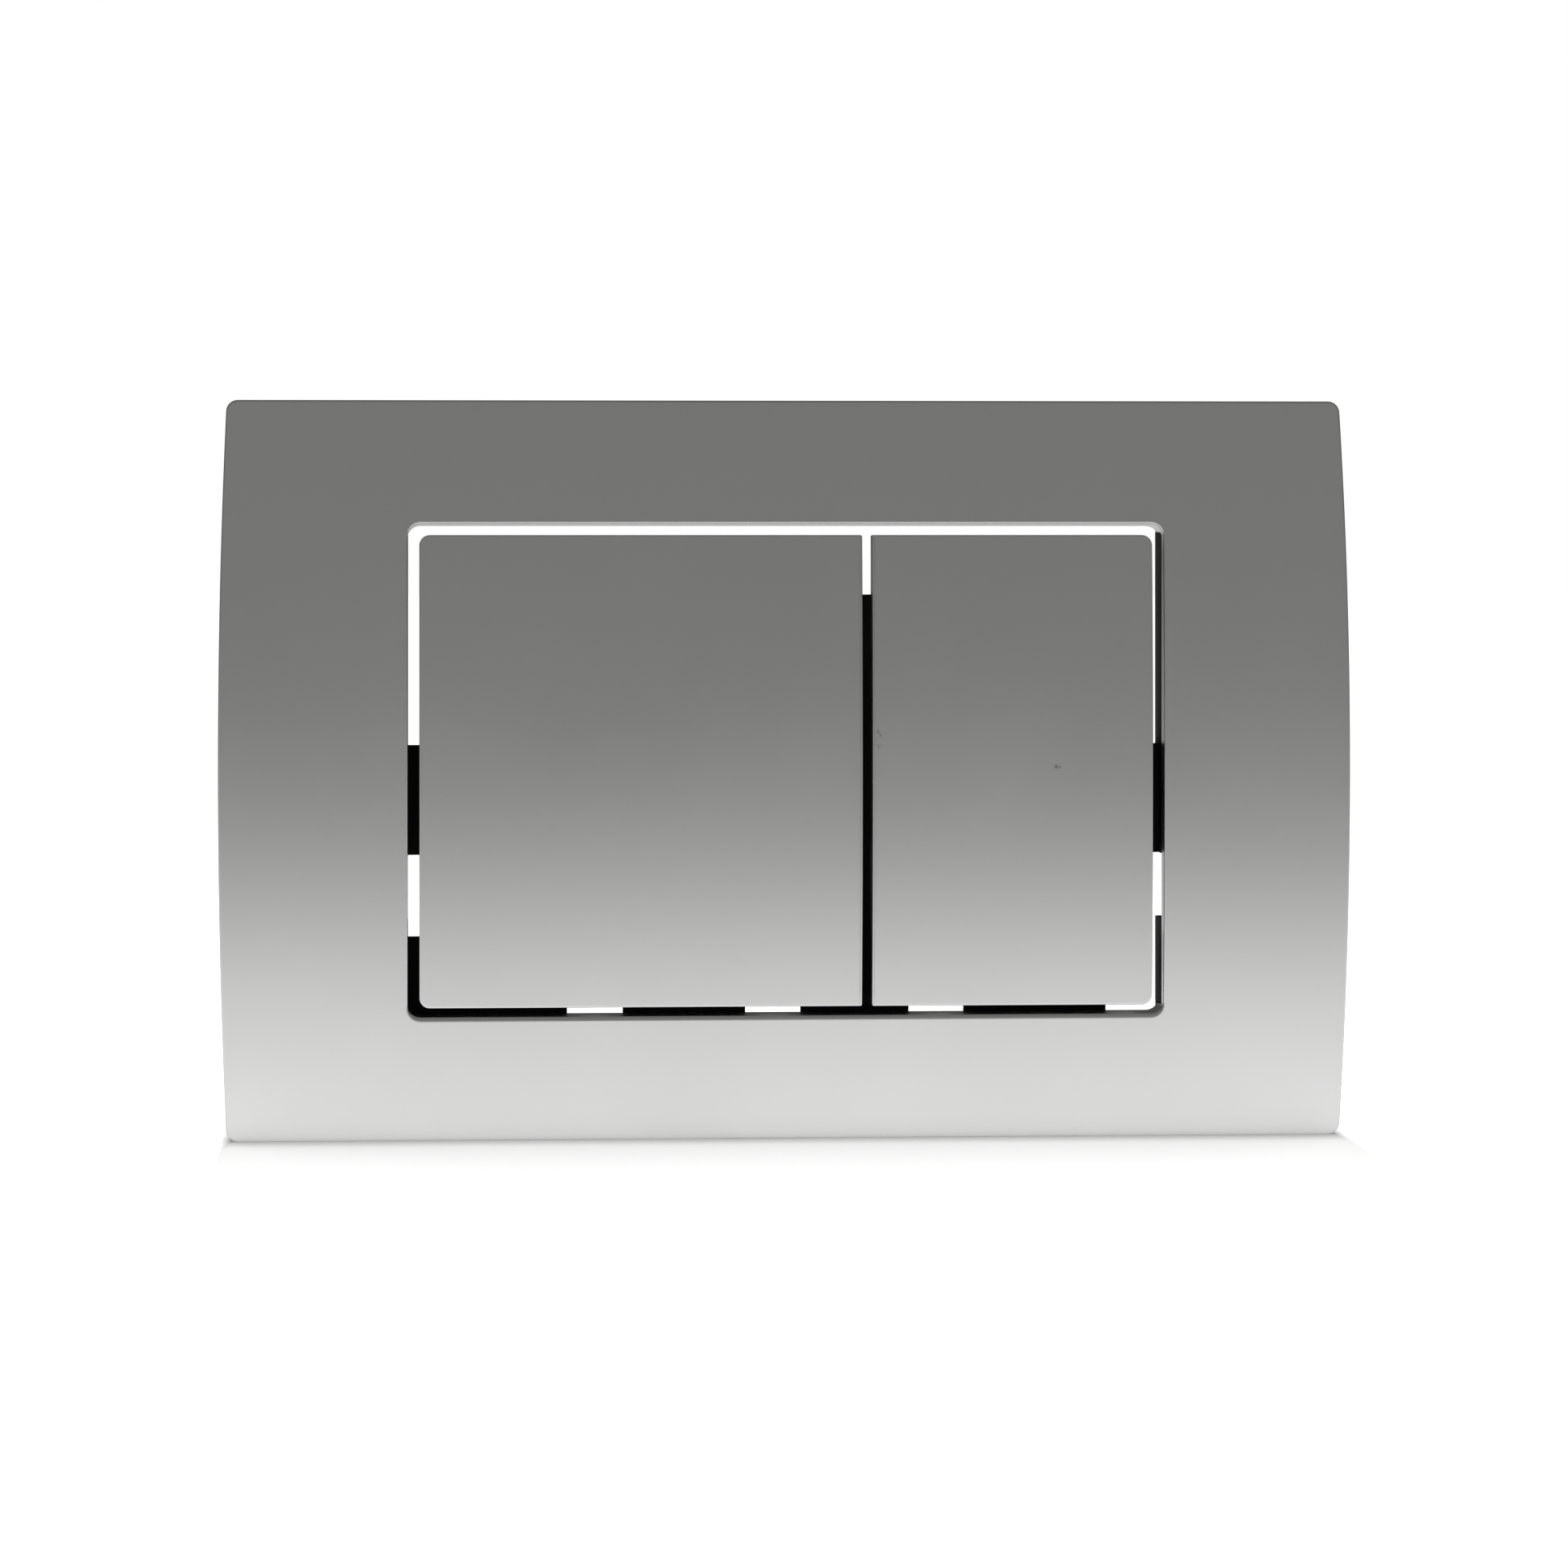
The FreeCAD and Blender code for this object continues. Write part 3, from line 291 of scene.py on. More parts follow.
def wound_bar(mesh, section, centre, pitch, turns, steps):
    """Winds a closed section of radius and depth pairs round a line along Y."""
    verts = [mesh.verts.new((centre[0] + radius, depth, centre[1])) for radius, depth in section]
    face = mesh.faces.new(verts)
    bmesh.ops.spin(mesh, geom=[face] + list(face.edges) + verts, cent=(centre[0], 0, centre[1]),
                   axis=(0, 1, 0), dvec=(0, pitch / steps, 0), angle=math.tau * turns,
                   steps=round(steps * turns), use_duplicate=False)


def screw_thread(mesh, centre, root, crest, start, end, pitch, steps=28):
    """A rolled thread between two depths: one wound ridge, with its foot sunk into the core."""
    foot = root - THREAD_SINK
    foot_start, foot_end = (start + pitch * share for share in THREAD_FOOT)
    crest_start, crest_end = (start + pitch * share for share in THREAD_CREST)
    section = ((foot, foot_start), (foot, foot_end), (crest, crest_end), (crest, crest_start))
    turns = (end - start - pitch) / pitch
    wound_bar(mesh, section, centre, pitch, turns, steps)


def to_object(mesh, name, material, body):
    """Closes off a piece: normals, metres, sharp edges, finish and the body that it rides on."""
    bmesh.ops.recalc_face_normals(mesh, faces=mesh.faces[:])
    bmesh.ops.scale(mesh, vec=(MM, MM, MM), verts=mesh.verts[:])
    for face in mesh.faces:
        face.smooth = True
    for edge in mesh.edges:
        edge.smooth = not edge.is_manifold or edge.calc_face_angle(0) < SHARP_ANGLE
    data = bpy.data.meshes.new(name)
    mesh.to_mesh(data)
    mesh.free()
    data.materials.append(material)
    piece = bpy.data.objects.new(name, data)
    bpy.context.scene.collection.objects.link(piece)
    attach(piece, body)
    return piece


def plate_skin(mesh, inset, window_grow, wall, edge_round):
    """One skin of the plate, with open borders at the wall and at the collar's rear end."""
    sheet = bmesh.new()
    bowed_rectangle(sheet, inset)
    side = HALF_WINDOW + window_grow
    low = -WINDOW_TOP - window_grow
    high = WINDOW_HIGH + window_grow
    rounded_rectangle(sheet, -side, side, low, high, [WINDOW_CORNER + window_grow] * 4)
    bmesh.ops.delete(sheet, geom=sheet.faces[:], context="FACES_ONLY")
    bmesh.ops.triangle_fill(sheet, use_beauty=True, use_dissolve=False, edges=sheet.edges[:],
                            normal=(0, -1, 0))
    if edge_round:
        roll_edge(sheet, edge_round)
        widen_sill(sheet, edge_round)
    steps_in_collar = [row * (SIDE_COLLAR_TOP + off)
                       for row in (-1, 1) for off in (-COLLAR_STEP, COLLAR_STEP)]
    cut_levels(sheet, HALF_HEIGHT, steps_in_collar)
    take_crown(sheet, wall)

    def collar_end(place):
        beside = abs(place.z) < SIDE_COLLAR_TOP and abs(place.x) > side - WINDOW_CORNER
        return SIDE_COLLAR_BACK if beside else COLLAR_BACK

    rims = border(sheet)
    window_rim = [edge for edge in rims if in_window(edge)]
    skirt_rim = [edge for edge in rims if not in_window(edge)]
    if edge_round:
        window_rim = draw_back(sheet, window_rim, lambda place: place.y + HOLDING_LINE)
        skirt_rim = draw_back(sheet, skirt_rim, lambda place: place.y + HOLDING_LINE)
    collar_rim = draw_back(sheet, window_rim, collar_end)
    for vert in {vert for edge in collar_rim for vert in edge.verts}:
        vert.co.z -= LINTEL_LEAN * max(0, vert.co.z - high + WINDOW_CORNER) / WINDOW_CORNER
    draw_back(sheet, skirt_rim, lambda place: 0.0)
    join(mesh, sheet)


def join(mesh, other):
    """Adds a finished mesh to another, and frees it."""
    data = bpy.data.meshes.new("part")
    other.to_mesh(data)
    other.free()
    mesh.from_mesh(data)
    bpy.data.meshes.remove(data)


def close_skins(mesh):
    """Joins the outer and inner skins along their open borders."""
    rims = border(mesh)
    window_rims = [edge for edge in rims if in_window(edge)]
    skirt_rims = [edge for edge in rims if not in_window(edge)]
    for group in (window_rims, skirt_rims):
        bmesh.ops.triangle_fill(mesh, use_beauty=True, use_dissolve=False, edges=group,
                                normal=(0, 1, 0))


# Ribs, catches and screw bosses behind the front plate
PLATE_RIB_HALF = 0.7
PLATE_RIB_BACK = -8.7
TOP_RIBS = (-84, 0, 84)
TOP_RIB_FROM_WINDOW = 1
TOP_RIB_FROM_EDGE = 1.2
SIDE_RIBS = (-30, 30)
SIDE_RIB_FROM_WINDOW = 2.4
SIDE_RIB_FROM_EDGE = 1.3
CATCH_SIDES = (53, 67)
CATCH_DEPTHS = (-5.5, -4)
CATCH_FROM_EDGE = (4.2, 1.5)
SCREW_X = 90.1
SCREW_Z = 45
BOSS_RADIUS = 2.9
BOSS_BORE = 1.32
BOSS_BACK = -8.3
BORE_BEHIND_FACE = 3.2


def mirrored(side, near, far):
    """A stretch from near to far, on the side given as -1 or 1."""
    return sorted((side * near, side * far))


def plate_ribs(mesh):
    half = PLATE_RIB_HALF
    for x in TOP_RIBS:
        for row in (-1, 1):
            z = mirrored(row, WINDOW_TOP + TOP_RIB_FROM_WINDOW, HALF_HEIGHT - TOP_RIB_FROM_EDGE)
            bevelled_block(mesh, (x - half, x + half), (0, PLATE_RIB_BACK), z, on_crown=True)
    for side in (-1, 1):
        x = mirrored(side, HALF_WINDOW + SIDE_RIB_FROM_WINDOW, HALF_PLATE - SIDE_RIB_FROM_EDGE)
        for z in SIDE_RIBS:
            bevelled_block(mesh, x, (0, PLATE_RIB_BACK), (z - half, z + half), on_crown=True)


def front_plate():
    """The shell with its ribs, the catches for the clips and the bosses for the screws."""
    mesh = bmesh.new()
    plate_skin(mesh, 0, 0, 0, PLATE_ROUND)
    plate_skin(mesh, SHELL_WALL, COLLAR_WALL, SHELL_WALL, 0)
    close_skins(mesh)
    plate_ribs(mesh)
    far, near = CATCH_FROM_EDGE
    face = crown(SCREW_Z)
    for side in (-1, 1):
        for row in (-1, 1):
            z = mirrored(row, HALF_HEIGHT - far, HALF_HEIGHT - near)
            bevelled_block(mesh, mirrored(side, *CATCH_SIDES), CATCH_DEPTHS, z)
            tube(mesh, side * SCREW_X, row * SCREW_Z, BOSS_RADIUS, BOSS_BORE,
                 face + BLOCK_START, BOSS_BACK, face + BORE_BEHIND_FACE)
    return to_object(mesh, "front_plate", satin_chrome, "frame")


# Ribs, pusher, hinge ears and hooks on the back of the buttons
BUTTON_RIB_HALF = 0.6
RIB_FROM_EDGE = 1
LONG_RIBS = (-20, 14)
LONG_RIB_BACK = 3.6
UPRIGHT_RIB_BACK = 3.5
RIB_LAP = 0.3
HINGE_BOSS = 3.6
EAR_THICKNESS = 2.5
PUSHER_HALF = 2.5
HOOK_HALF = 3
HOOK_LOW = -50.45
HOOK_HIGH = -48.65
NIB_HIGH = -45.0
NIB_FRONT = -1.94
HOOK_END = 0.06


def button_skin(mesh, left, right, radii, inset, wall, edge_round):
    """One skin of a button, with an open border at the back."""
    sheet = bmesh.new()
    low = inset - BUTTON_TOP
    high = BUTTON_HIGH - inset
    rounded_rectangle(sheet, left + inset, right - inset, low, high, radii)
    if edge_round:
        roll_edge(sheet, edge_round)
    bmesh.ops.triangulate(sheet, faces=[face for face in sheet.faces if len(face.verts) > 4])
    cut_levels(sheet, BUTTON_TOP)
    take_crown(sheet, wall)
    rim = border(sheet)
    if edge_round:
        rim = draw_back(sheet, rim, lambda place: place.y + HOLDING_LINE)
    draw_back(sheet, rim, lambda place: BUTTON_BACK)
    join(mesh, sheet)


def button_ribs(mesh, left, right, upright):
    """Two ribs along the button, and upright ones in three stretches that follow the crown."""
    half = BUTTON_RIB_HALF
    for z in LONG_RIBS:
        depth = crown(z) + LONG_RIB_BACK
        x = (left + RIB_FROM_EDGE, right - RIB_FROM_EDGE)
        bevelled_block(mesh, x, (0, depth), (z - half, z + half), on_crown=True)
    top = BUTTON_TOP - RIB_FROM_EDGE
    for x in upright:
        for low in (-top, -top / 3, top / 3):
            high = low + 2 * top / 3
            depth = max(crown(low), crown(high)) + UPRIGHT_RIB_BACK
            z = (low - RIB_LAP, high + RIB_LAP)
            bevelled_block(mesh, (x - half, x + half), (0, depth), z, on_crown=True)


def button_hooks(mesh, places):
    """Hooks that catch behind the carrier's lower band."""
    for middle_x in places:
        x = (middle_x - HOOK_HALF, middle_x + HOOK_HALF)
        bevelled_block(mesh, x, (0, HOOK_END), (HOOK_LOW, HOOK_HIGH), on_crown=True)
        bevelled_block(mesh, x, (NIB_FRONT, HOOK_END), (HOOK_LOW, NIB_HIGH), soft=0.3)


def button(name, body, left, right, radii, ears, upright, rod_x, hooks):
    """A crowned button: outer and inner skins, ribs, ears on the hinge pin, pusher and hooks."""
    mesh = bmesh.new()
    button_skin(mesh, left, right, radii, 0, 0, BUTTON_ROUND)
    inner_radii = [max(radius - BUTTON_SIDE_WALL, SHARPEST_CORNER) for radius in radii]
    button_skin(mesh, left, right, inner_radii, BUTTON_SIDE_WALL, BUTTON_WALL, 0)
    bmesh.ops.triangle_fill(mesh, use_beauty=True, use_dissolve=False, edges=border(mesh),
                            normal=(0, 1, 0))
    button_ribs(mesh, left, right, upright)
    depth, height = HINGE
    for x in ears:
        z = (height - HINGE_BOSS, height + HINGE_BOSS)
        bevelled_block(mesh, (x, x + EAR_THICKNESS), (0, depth), z, on_crown=True)
        round_bar(mesh, HINGE, HINGE_BOSS, "X", x, x + EAR_THICKNESS)
    x = (rod_x - PUSHER_HALF, rod_x + PUSHER_HALF)
    z = (ROD_Z - PUSHER_HALF, ROD_Z + PUSHER_HALF)
    bevelled_block(mesh, x, (0, BUTTON_BACK), z, on_crown=True, soft=0.3)
    button_hooks(mesh, hooks)
    return to_object(mesh, name, satin_chrome, body)


# Return springs on the push rods
COIL_RADIUS = 5.2
WIRE_RADIUS = 0.45
WIRE_SIDES = 10
END_PITCH = 2.1 * WIRE_RADIUS
LAST_PITCH = 0.9 * END_PITCH
WORKING_TURNS = 5
TURN_STEPS = 30
SPRING_FRONT = -7.9
SPRING_BACK = 10.0
SPRING_SEAT = 0.02


def wire_section(depth):
    """The round section of the wire as radius and depth pairs."""
    angles = [math.tau * n / WIRE_SIDES for n in range(WIRE_SIDES)]
    return [(COIL_RADIUS + WIRE_RADIUS * math.cos(angle), depth + WIRE_RADIUS * math.sin(angle))
            for angle in angles]


def rod_spring(name, x):
    """Working turns of round wire between two closed end turns."""
    mesh = bmesh.new()
    centre = (x, ROD_Z)
    working = SPRING_BACK - SPRING_FRONT - 2 * WIRE_RADIUS - 2 * END_PITCH
    depth = SPRING_FRONT + WIRE_RADIUS + SPRING_SEAT
    wound_bar(mesh, wire_section(depth), centre, END_PITCH, 1, TURN_STEPS)
    depth += END_PITCH
    wound_bar(mesh, wire_section(depth), centre, working / WORKING_TURNS, WORKING_TURNS, TURN_STEPS)
    depth += working
    wound_bar(mesh, wire_section(depth), centre, LAST_PITCH, 1, TURN_STEPS)
    piece = to_object(mesh, name, spring_steel, "frame")
    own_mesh(piece)
    return piece


# Push rods
ROD_FRONT = -9.5
ROD_BACK = 40
ROD_CORE = 2.72
TIP_RADIUS = 2.5
TIP_FRONT = 27.5
CORE_BACK = 28.3


def push_rod(name, x, body):
    """A threaded rod with a plain tip that meets the lever."""
    mesh = bmesh.new()
    centre = (x, ROD_Z)
    round_bar(mesh, centre, ROD_CORE, "Y", ROD_FRONT, CORE_BACK, soft=0.2)
    round_bar(mesh, centre, TIP_RADIUS, "Y", TIP_FRONT, ROD_BACK, soft=0.5)
    screw_thread(mesh, centre, root=2.7, crest=3.0, start=-9.2, end=28.2, pitch=1.0)
    return to_object(mesh, name, white_plastic, body)


def merged_solid(node):
    """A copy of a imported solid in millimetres, with its loose triangles joined into faces."""
    mesh = bmesh.new()
    mesh.from_mesh(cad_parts[node].data)
    bmesh.ops.remove_doubles(mesh, verts=mesh.verts[:], dist=1e-6)
    bmesh.ops.dissolve_limit(mesh, angle_limit=math.radians(1), verts=mesh.verts[:],
                             edges=mesh.edges[:])
    bmesh.ops.scale(mesh, vec=(1 / MM, 1 / MM, 1 / MM), verts=mesh.verts[:])
    return mesh


def round_edges(piece, width, angle):
    """Rounds the edges that are sharper than the angle."""
    soft = piece.modifiers.new("rounded_edges", "BEVEL")
    soft.width = width * MM
    soft.segments = 2
    soft.limit_method = "ANGLE"
    soft.angle_limit = angle
    soft.harden_normals = True


# The carrier's side walls reach from the collar's clearance to this depth.
CARRIER_BACK = -1.0
WALL_CLEARANCE = 0.3


def carry_side_walls(mesh):
    """Four blocks that carry the carrier's side walls on behind the collar's corners."""
    y = (COLLAR_BACK + WALL_CLEARANCE, CARRIER_BACK)
    for side in (-1, 1):
        x = mirrored(side, HALF_WINDOW, HALF_WINDOW + COLLAR_WALL)
        for row in (-1, 1):
            z = mirrored(row, SIDE_COLLAR_TOP - WALL_CLEARANCE, WINDOW_TOP + COLLAR_WALL)
            bevelled_block(mesh, x, y, z)


def softened_copy(name, node, material, body, width):
    """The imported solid's own shape with its edges rounded."""
    mesh = merged_solid(node)
    if node == "button_carrier":
        carry_side_walls(mesh)
    piece = to_object(mesh, name, material, body)
    for edge in piece.data.edges:
        edge.use_edge_sharp = False
    round_edges(piece, width, SHARP_ANGLE)
    return piece


def hinge_pin(name, node):
    """A steel wire with softened ends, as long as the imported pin."""
    mesh = bmesh.new()
    low, high = packed(node)
    round_bar(mesh, HINGE, PIN_RADIUS, "X", low[X], high[X], soft=0.35)
    return to_object(mesh, name, pin_steel, "frame")


# Fixing bolts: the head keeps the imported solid's cross recess, and the shank gets its thread.
# Behind its front, the shank's points lie at these distances from the axis.
SHANK_FRONT = -3
SHANK_NEAREST = 1
SHANK_FARTHEST = 4.05
SHANK_CORE = 3.55
BOLT_ROUND = 0.15
BOLT_EDGE_ANGLE = math.radians(50)


def fixing_bolt(name, node):
    mesh = merged_solid(node)
    axis_x = middle(node, X)
    for vert in mesh.verts:
        across = math.hypot(vert.co.x - axis_x, vert.co.z)
        if vert.co.y > SHANK_FRONT and SHANK_NEAREST < across < SHANK_FARTHEST:
            shrink = SHANK_CORE / across
            vert.co.x = axis_x + (vert.co.x - axis_x) * shrink
            vert.co.z *= shrink
    screw_thread(mesh, (axis_x, 0), root=3.5, crest=4.0, start=-3.6, end=41.6, pitch=1.25)
    bolt = to_object(mesh, name, white_plastic, "frame")
    round_edges(bolt, BOLT_ROUND, BOLT_EDGE_ANGLE)
    return bolt


# Screws that hold the carrier on the plate's bosses
SCREW_CORE = 1.0
SCREW_DEPTHS = (-11.3, -5.5)
SCREW_HEAD = 2.6
SCREW_HEAD_DEPTHS = (-6, -4.4)


def hexagon_head(mesh, x, z, corner_radius, front, back, soft):
    made = bmesh.ops.create_cone(mesh, cap_ends=True, segments=6, radius1=corner_radius,
                                 radius2=corner_radius, depth=back - front)["verts"]
    quarter = math.radians(90)
    turn = Matrix.Rotation(quarter, 4, "X") @ Matrix.Rotation(quarter, 4, "Z")
    move = Matrix.Translation((x, (front + back) / 2, z))
    bmesh.ops.transform(mesh, matrix=move @ turn, verts=made)
    bmesh.ops.bevel(mesh, geom=edges_at(made), offset=soft, offset_type="OFFSET", segments=3,
                    profile=0.5, affect="EDGES", material=-1)


def carrier_screws():
    mesh = bmesh.new()
    for side in (-1, 1):
        for row in (-1, 1):
            x = side * SCREW_X
            z = row * SCREW_Z
            round_bar(mesh, (x, z), SCREW_CORE, "Y", *SCREW_DEPTHS, sides=20, soft=0.25)
            hexagon_head(mesh, x, z, SCREW_HEAD, *SCREW_HEAD_DEPTHS, soft=0.2)
            screw_thread(mesh, (x, z), root=0.98, crest=1.29, start=-11.1, end=-6.2, pitch=0.8,
                         steps=18)
    return to_object(mesh, "plated_screws", zinc_steel, "frame")


class Finish:
    """A principled material and the few nodes that its pattern needs."""

    def __init__(self, name, colour, roughness, metallic=0.0):
        self.material = bpy.data.materials.new(name)
        self.material.use_nodes = True
        self.tree = self.material.node_tree
        self.surface = self.tree.nodes["Principled BSDF"]
        self.surface.inputs["Base Color"].default_value = (*colour, 1)
        self.surface.inputs["Roughness"].default_value = roughness
        self.surface.inputs["Metallic"].default_value = metallic
        self.place = self.tree.nodes.new("ShaderNodeTexCoord").outputs["Object"]

    def join(self, source, target):
        self.tree.links.new(source, target)

    def stretched(self, scale):
        mapping = self.tree.nodes.new("ShaderNodeMapping")
        mapping.inputs["Scale"].default_value = scale
        self.join(self.place, mapping.inputs["Vector"])
        return mapping.outputs["Vector"]

    def noise(self, scale, detail, roughness=0.5, place=None):
        node = self.tree.nodes.new("ShaderNodeTexNoise")
        node.inputs["Scale"].default_value = scale
        node.inputs["Detail"].default_value = detail
        node.inputs["Roughness"].default_value = roughness
        self.join(place or self.place, node.inputs["Vector"])
        return node.outputs["Fac"]

    def roughness(self, source, low, high):
        """Spreads the noise's middle range over two roughness values."""
        node = self.tree.nodes.new("ShaderNodeMapRange")
        node.inputs["From Min"].default_value = 0.3
        node.inputs["From Max"].default_value = 0.7
        node.inputs["To Min"].default_value = low
        node.inputs["To Max"].default_value = high
        self.join(source, node.inputs["Value"])
        self.join(node.outputs["Result"], self.surface.inputs["Roughness"])

    def tint(self, source, first, second):
        node = self.tree.nodes.new("ShaderNodeMix")
        node.data_type = "RGBA"
        self.join(source, node.inputs["Factor"])
        node.inputs["A"].default_value = (*first, 1)
        node.inputs["B"].default_value = (*second, 1)
        self.join(node.outputs["Result"], self.surface.inputs["Base Color"])

    def bump(self, source, strength, distance):
        node = self.tree.nodes.new("ShaderNodeBump")
        node.inputs["Strength"].default_value = strength
        node.inputs["Distance"].default_value = distance
        self.join(source, node.inputs["Height"])
        self.join(node.outputs["Normal"], self.surface.inputs["Normal"])


CHROME_TINT = (0.64, 0.64, 0.639)
SPECK_TINT = (0.3, 0.29, 0.28)
SPECK_CORE = 0.35

# Specks on the half button: X, Z and reach in millimetres, and how far each darkens the chrome
SPECKS = ((19.9, 8.4, 0.55, 0.5), (20.4, 7.65, 0.55, 0.5), (20.1, 5.2, 0.8, 0.25),
          (59.45, 0.6, 0.65, 0.8), (60.2, 0.5, 0.5, 0.5))


def combined(tree, operation, first, second):
    """One value from two, such as their product or the larger one."""
    node = tree.nodes.new("ShaderNodeMath")
    node.operation = operation
    tree.links.new(first, node.inputs[0])
    tree.links.new(second, node.inputs[1])
    return node.outputs["Value"]


def speck(finish, x, z, reach, depth):
    """A dull spot on the crowned face, at its darkest out to a share of its reach."""
    gap = finish.tree.nodes.new("ShaderNodeVectorMath")
    gap.operation = "DISTANCE"
    gap.inputs[1].default_value = (x * MM, crown(z) * MM, z * MM)
    finish.join(finish.place, gap.inputs[0])
    spot = finish.tree.nodes.new("ShaderNodeMapRange")
    spot.interpolation_type = "SMOOTHSTEP"
    spot.inputs["From Min"].default_value = reach * MM * SPECK_CORE
    spot.inputs["From Max"].default_value = reach * MM
    spot.inputs["To Min"].default_value = depth
    spot.inputs["To Max"].default_value = 0
    finish.join(gap.outputs["Value"], spot.inputs["Value"])
    return spot.outputs["Result"]


def chrome_finish():
    """Satin chrome on a moulding: an even blur, faint cloudiness, and a few tiny dull specks."""
    finish = Finish("satin_chrome", CHROME_TINT, roughness=0.3, metallic=1.0)
    finish.roughness(finish.noise(scale=28, detail=4), low=0.285, high=0.315)
    first, *others = [speck(finish, *numbers) for numbers in SPECKS]
    dull = first
    for other in others:
        dull = combined(finish.tree, "MAXIMUM", dull, other)
    finish.tint(dull, CHROME_TINT, SPECK_TINT)
    finish.bump(finish.noise(scale=900, detail=2), strength=0.04, distance=0.00002)
    return finish.material


def moulded_finish(name, dark, light, low, high, grain=1400, depth=0.00005, gloss=0.5):
    """Moulded plastic: fine grain, and a little unevenness in colour and roughness."""
    finish = Finish(name, dark, low)
    finish.surface.inputs["Specular IOR Level"].default_value = gloss
    cloud = finish.noise(scale=45, detail=4)
    finish.tint(cloud, dark, light)
    finish.roughness(cloud, low, high)
    finish.bump(finish.noise(grain, detail=3, roughness=0.6), strength=0.35, distance=depth)
    return finish.material


def drawn_metal(name, dark, light, low, high, scale):
    """Bright drawn or plated metal, with fine lines along one direction."""
    finish = Finish(name, dark, low, metallic=1.0)
    lines = finish.noise(scale=1, detail=3, roughness=0.6, place=finish.stretched(scale))
    finish.tint(lines, dark, light)
    finish.roughness(lines, low, high)
    finish.bump(lines, strength=0.12, distance=0.00003)
    return finish.material


satin_chrome = chrome_finish()
black_plastic = moulded_finish("black_moulding", (0.006, 0.006, 0.0065), (0.01, 0.01, 0.0105),
                               low=0.6, high=0.75, gloss=0.15)
frame_plastic = moulded_finish("frame_moulding", (0.017, 0.017, 0.018), (0.024, 0.024, 0.025),
                               low=0.5, high=0.66, gloss=0.3)
white_plastic = moulded_finish("natural_acetal", (0.74, 0.735, 0.71), (0.79, 0.785, 0.765),
                               low=0.34, high=0.46)
cap_plastic = moulded_finish("grey_acetal", (0.55, 0.56, 0.555), (0.61, 0.615, 0.61),
                             low=0.36, high=0.5)
rubber = moulded_finish("stop_rubber", (0.022, 0.022, 0.022), (0.036, 0.036, 0.035),
                        low=0.72, high=0.88, grain=700, depth=0.00008)
pin_steel = drawn_metal("drawn_steel", (0.5, 0.5, 0.49), (0.6, 0.6, 0.59),
                        low=0.26, high=0.4, scale=(60, 2200, 2200))
spring_steel = drawn_metal("spring_wire", (0.38, 0.38, 0.375), (0.5, 0.5, 0.49),
                           low=0.28, high=0.44, scale=(1500, 1500, 1500))
zinc_steel = drawn_metal("zinc_plate", (0.52, 0.52, 0.5), (0.6, 0.6, 0.585),
                         low=0.34, high=0.52, scale=(350, 350, 350))

# The object
plate = front_plate()
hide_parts("cover_plate")

full_button = button("full_button_shell", "full_button", FULL_LOW[X], FULL_HIGH[X],
                     radii=(BUTTON_CORNER, INNER_CORNER, INNER_CORNER, BUTTON_CORNER),
                     ears=(-69.8, 8.275), upright=(-50.6, 6.0), rod_x=FULL_ROD_X,
                     hooks=(-42.1, -2.5))
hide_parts("full_flush_button")

half_button = button("half_button_shell", "half_button", HALF_LOW[X], HALF_HIGH[X],
                     radii=(INNER_CORNER, BUTTON_CORNER, BUTTON_CORNER, INNER_CORNER),
                     ears=(24.575, 67.3), upright=(67.0,), rod_x=HALF_ROD_X, hooks=(33.95, 75.5))
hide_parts("half_flush_button")

# Name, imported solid, material, body, width of the rounded edges, and slot
COPIES = (
    ("carrier_moulding", "button_carrier", black_plastic, "frame", 0.18, "black_plastic"),
    ("frame_moulding", "wall_frame", frame_plastic, "frame", 0.3, "grey_plastic"),
    ("full_rubber_pads", "full_stop_buffers", rubber, "frame", 0.7, "rubber"),
    ("half_rubber_pads", "half_stop_buffers", rubber, "frame", 0.7, "rubber"),
    ("full_rod_cap", "full_rod_head", cap_plastic, "full_rod", 0.25, "cap_plastic"),
    ("half_rod_cap", "half_rod_head", cap_plastic, "half_rod", 0.25, "cap_plastic"),
    ("left_square_washer", "left_bolt_washer", zinc_steel, "frame", 0.2, "zinc_steel"),
    ("right_square_washer", "right_bolt_washer", zinc_steel, "frame", 0.2, "zinc_steel"),
    ("upper_left_spring_clip", "upper_left_clip", spring_steel, "frame", 0.12, "spring_steel"),
    ("upper_right_spring_clip", "upper_right_clip", spring_steel, "frame", 0.12, "spring_steel"),
    ("lower_left_spring_clip", "lower_left_clip", spring_steel, "frame", 0.12, "spring_steel"),
    ("lower_right_spring_clip", "lower_right_clip", spring_steel, "frame", 0.12, "spring_steel"),
)
for name, node, material, body, width, slot in COPIES:
    copy = softened_copy(name, node, material, body, width)
    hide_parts(node)

for side in ("full", "half"):
    pin = hinge_pin(side + "_pivot_wire", side + "_hinge_pin")
    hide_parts(side + "_hinge_pin")

for side, x in (("full", FULL_ROD_X), ("half", HALF_ROD_X)):
    spring = rod_spring(side + "_return_spring", x)
    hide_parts(side + "_rod_spring")
    rod = push_rod(side + "_threaded_rod", x, side + "_rod")
    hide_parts(side + "_push_rod")

for side in ("left", "right"):
    bolt = fixing_bolt(side + "_wall_bolt", side + "_fixing_bolt")
    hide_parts(side + "_fixing_bolt")

screws = carrier_screws()
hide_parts("carrier_screws")

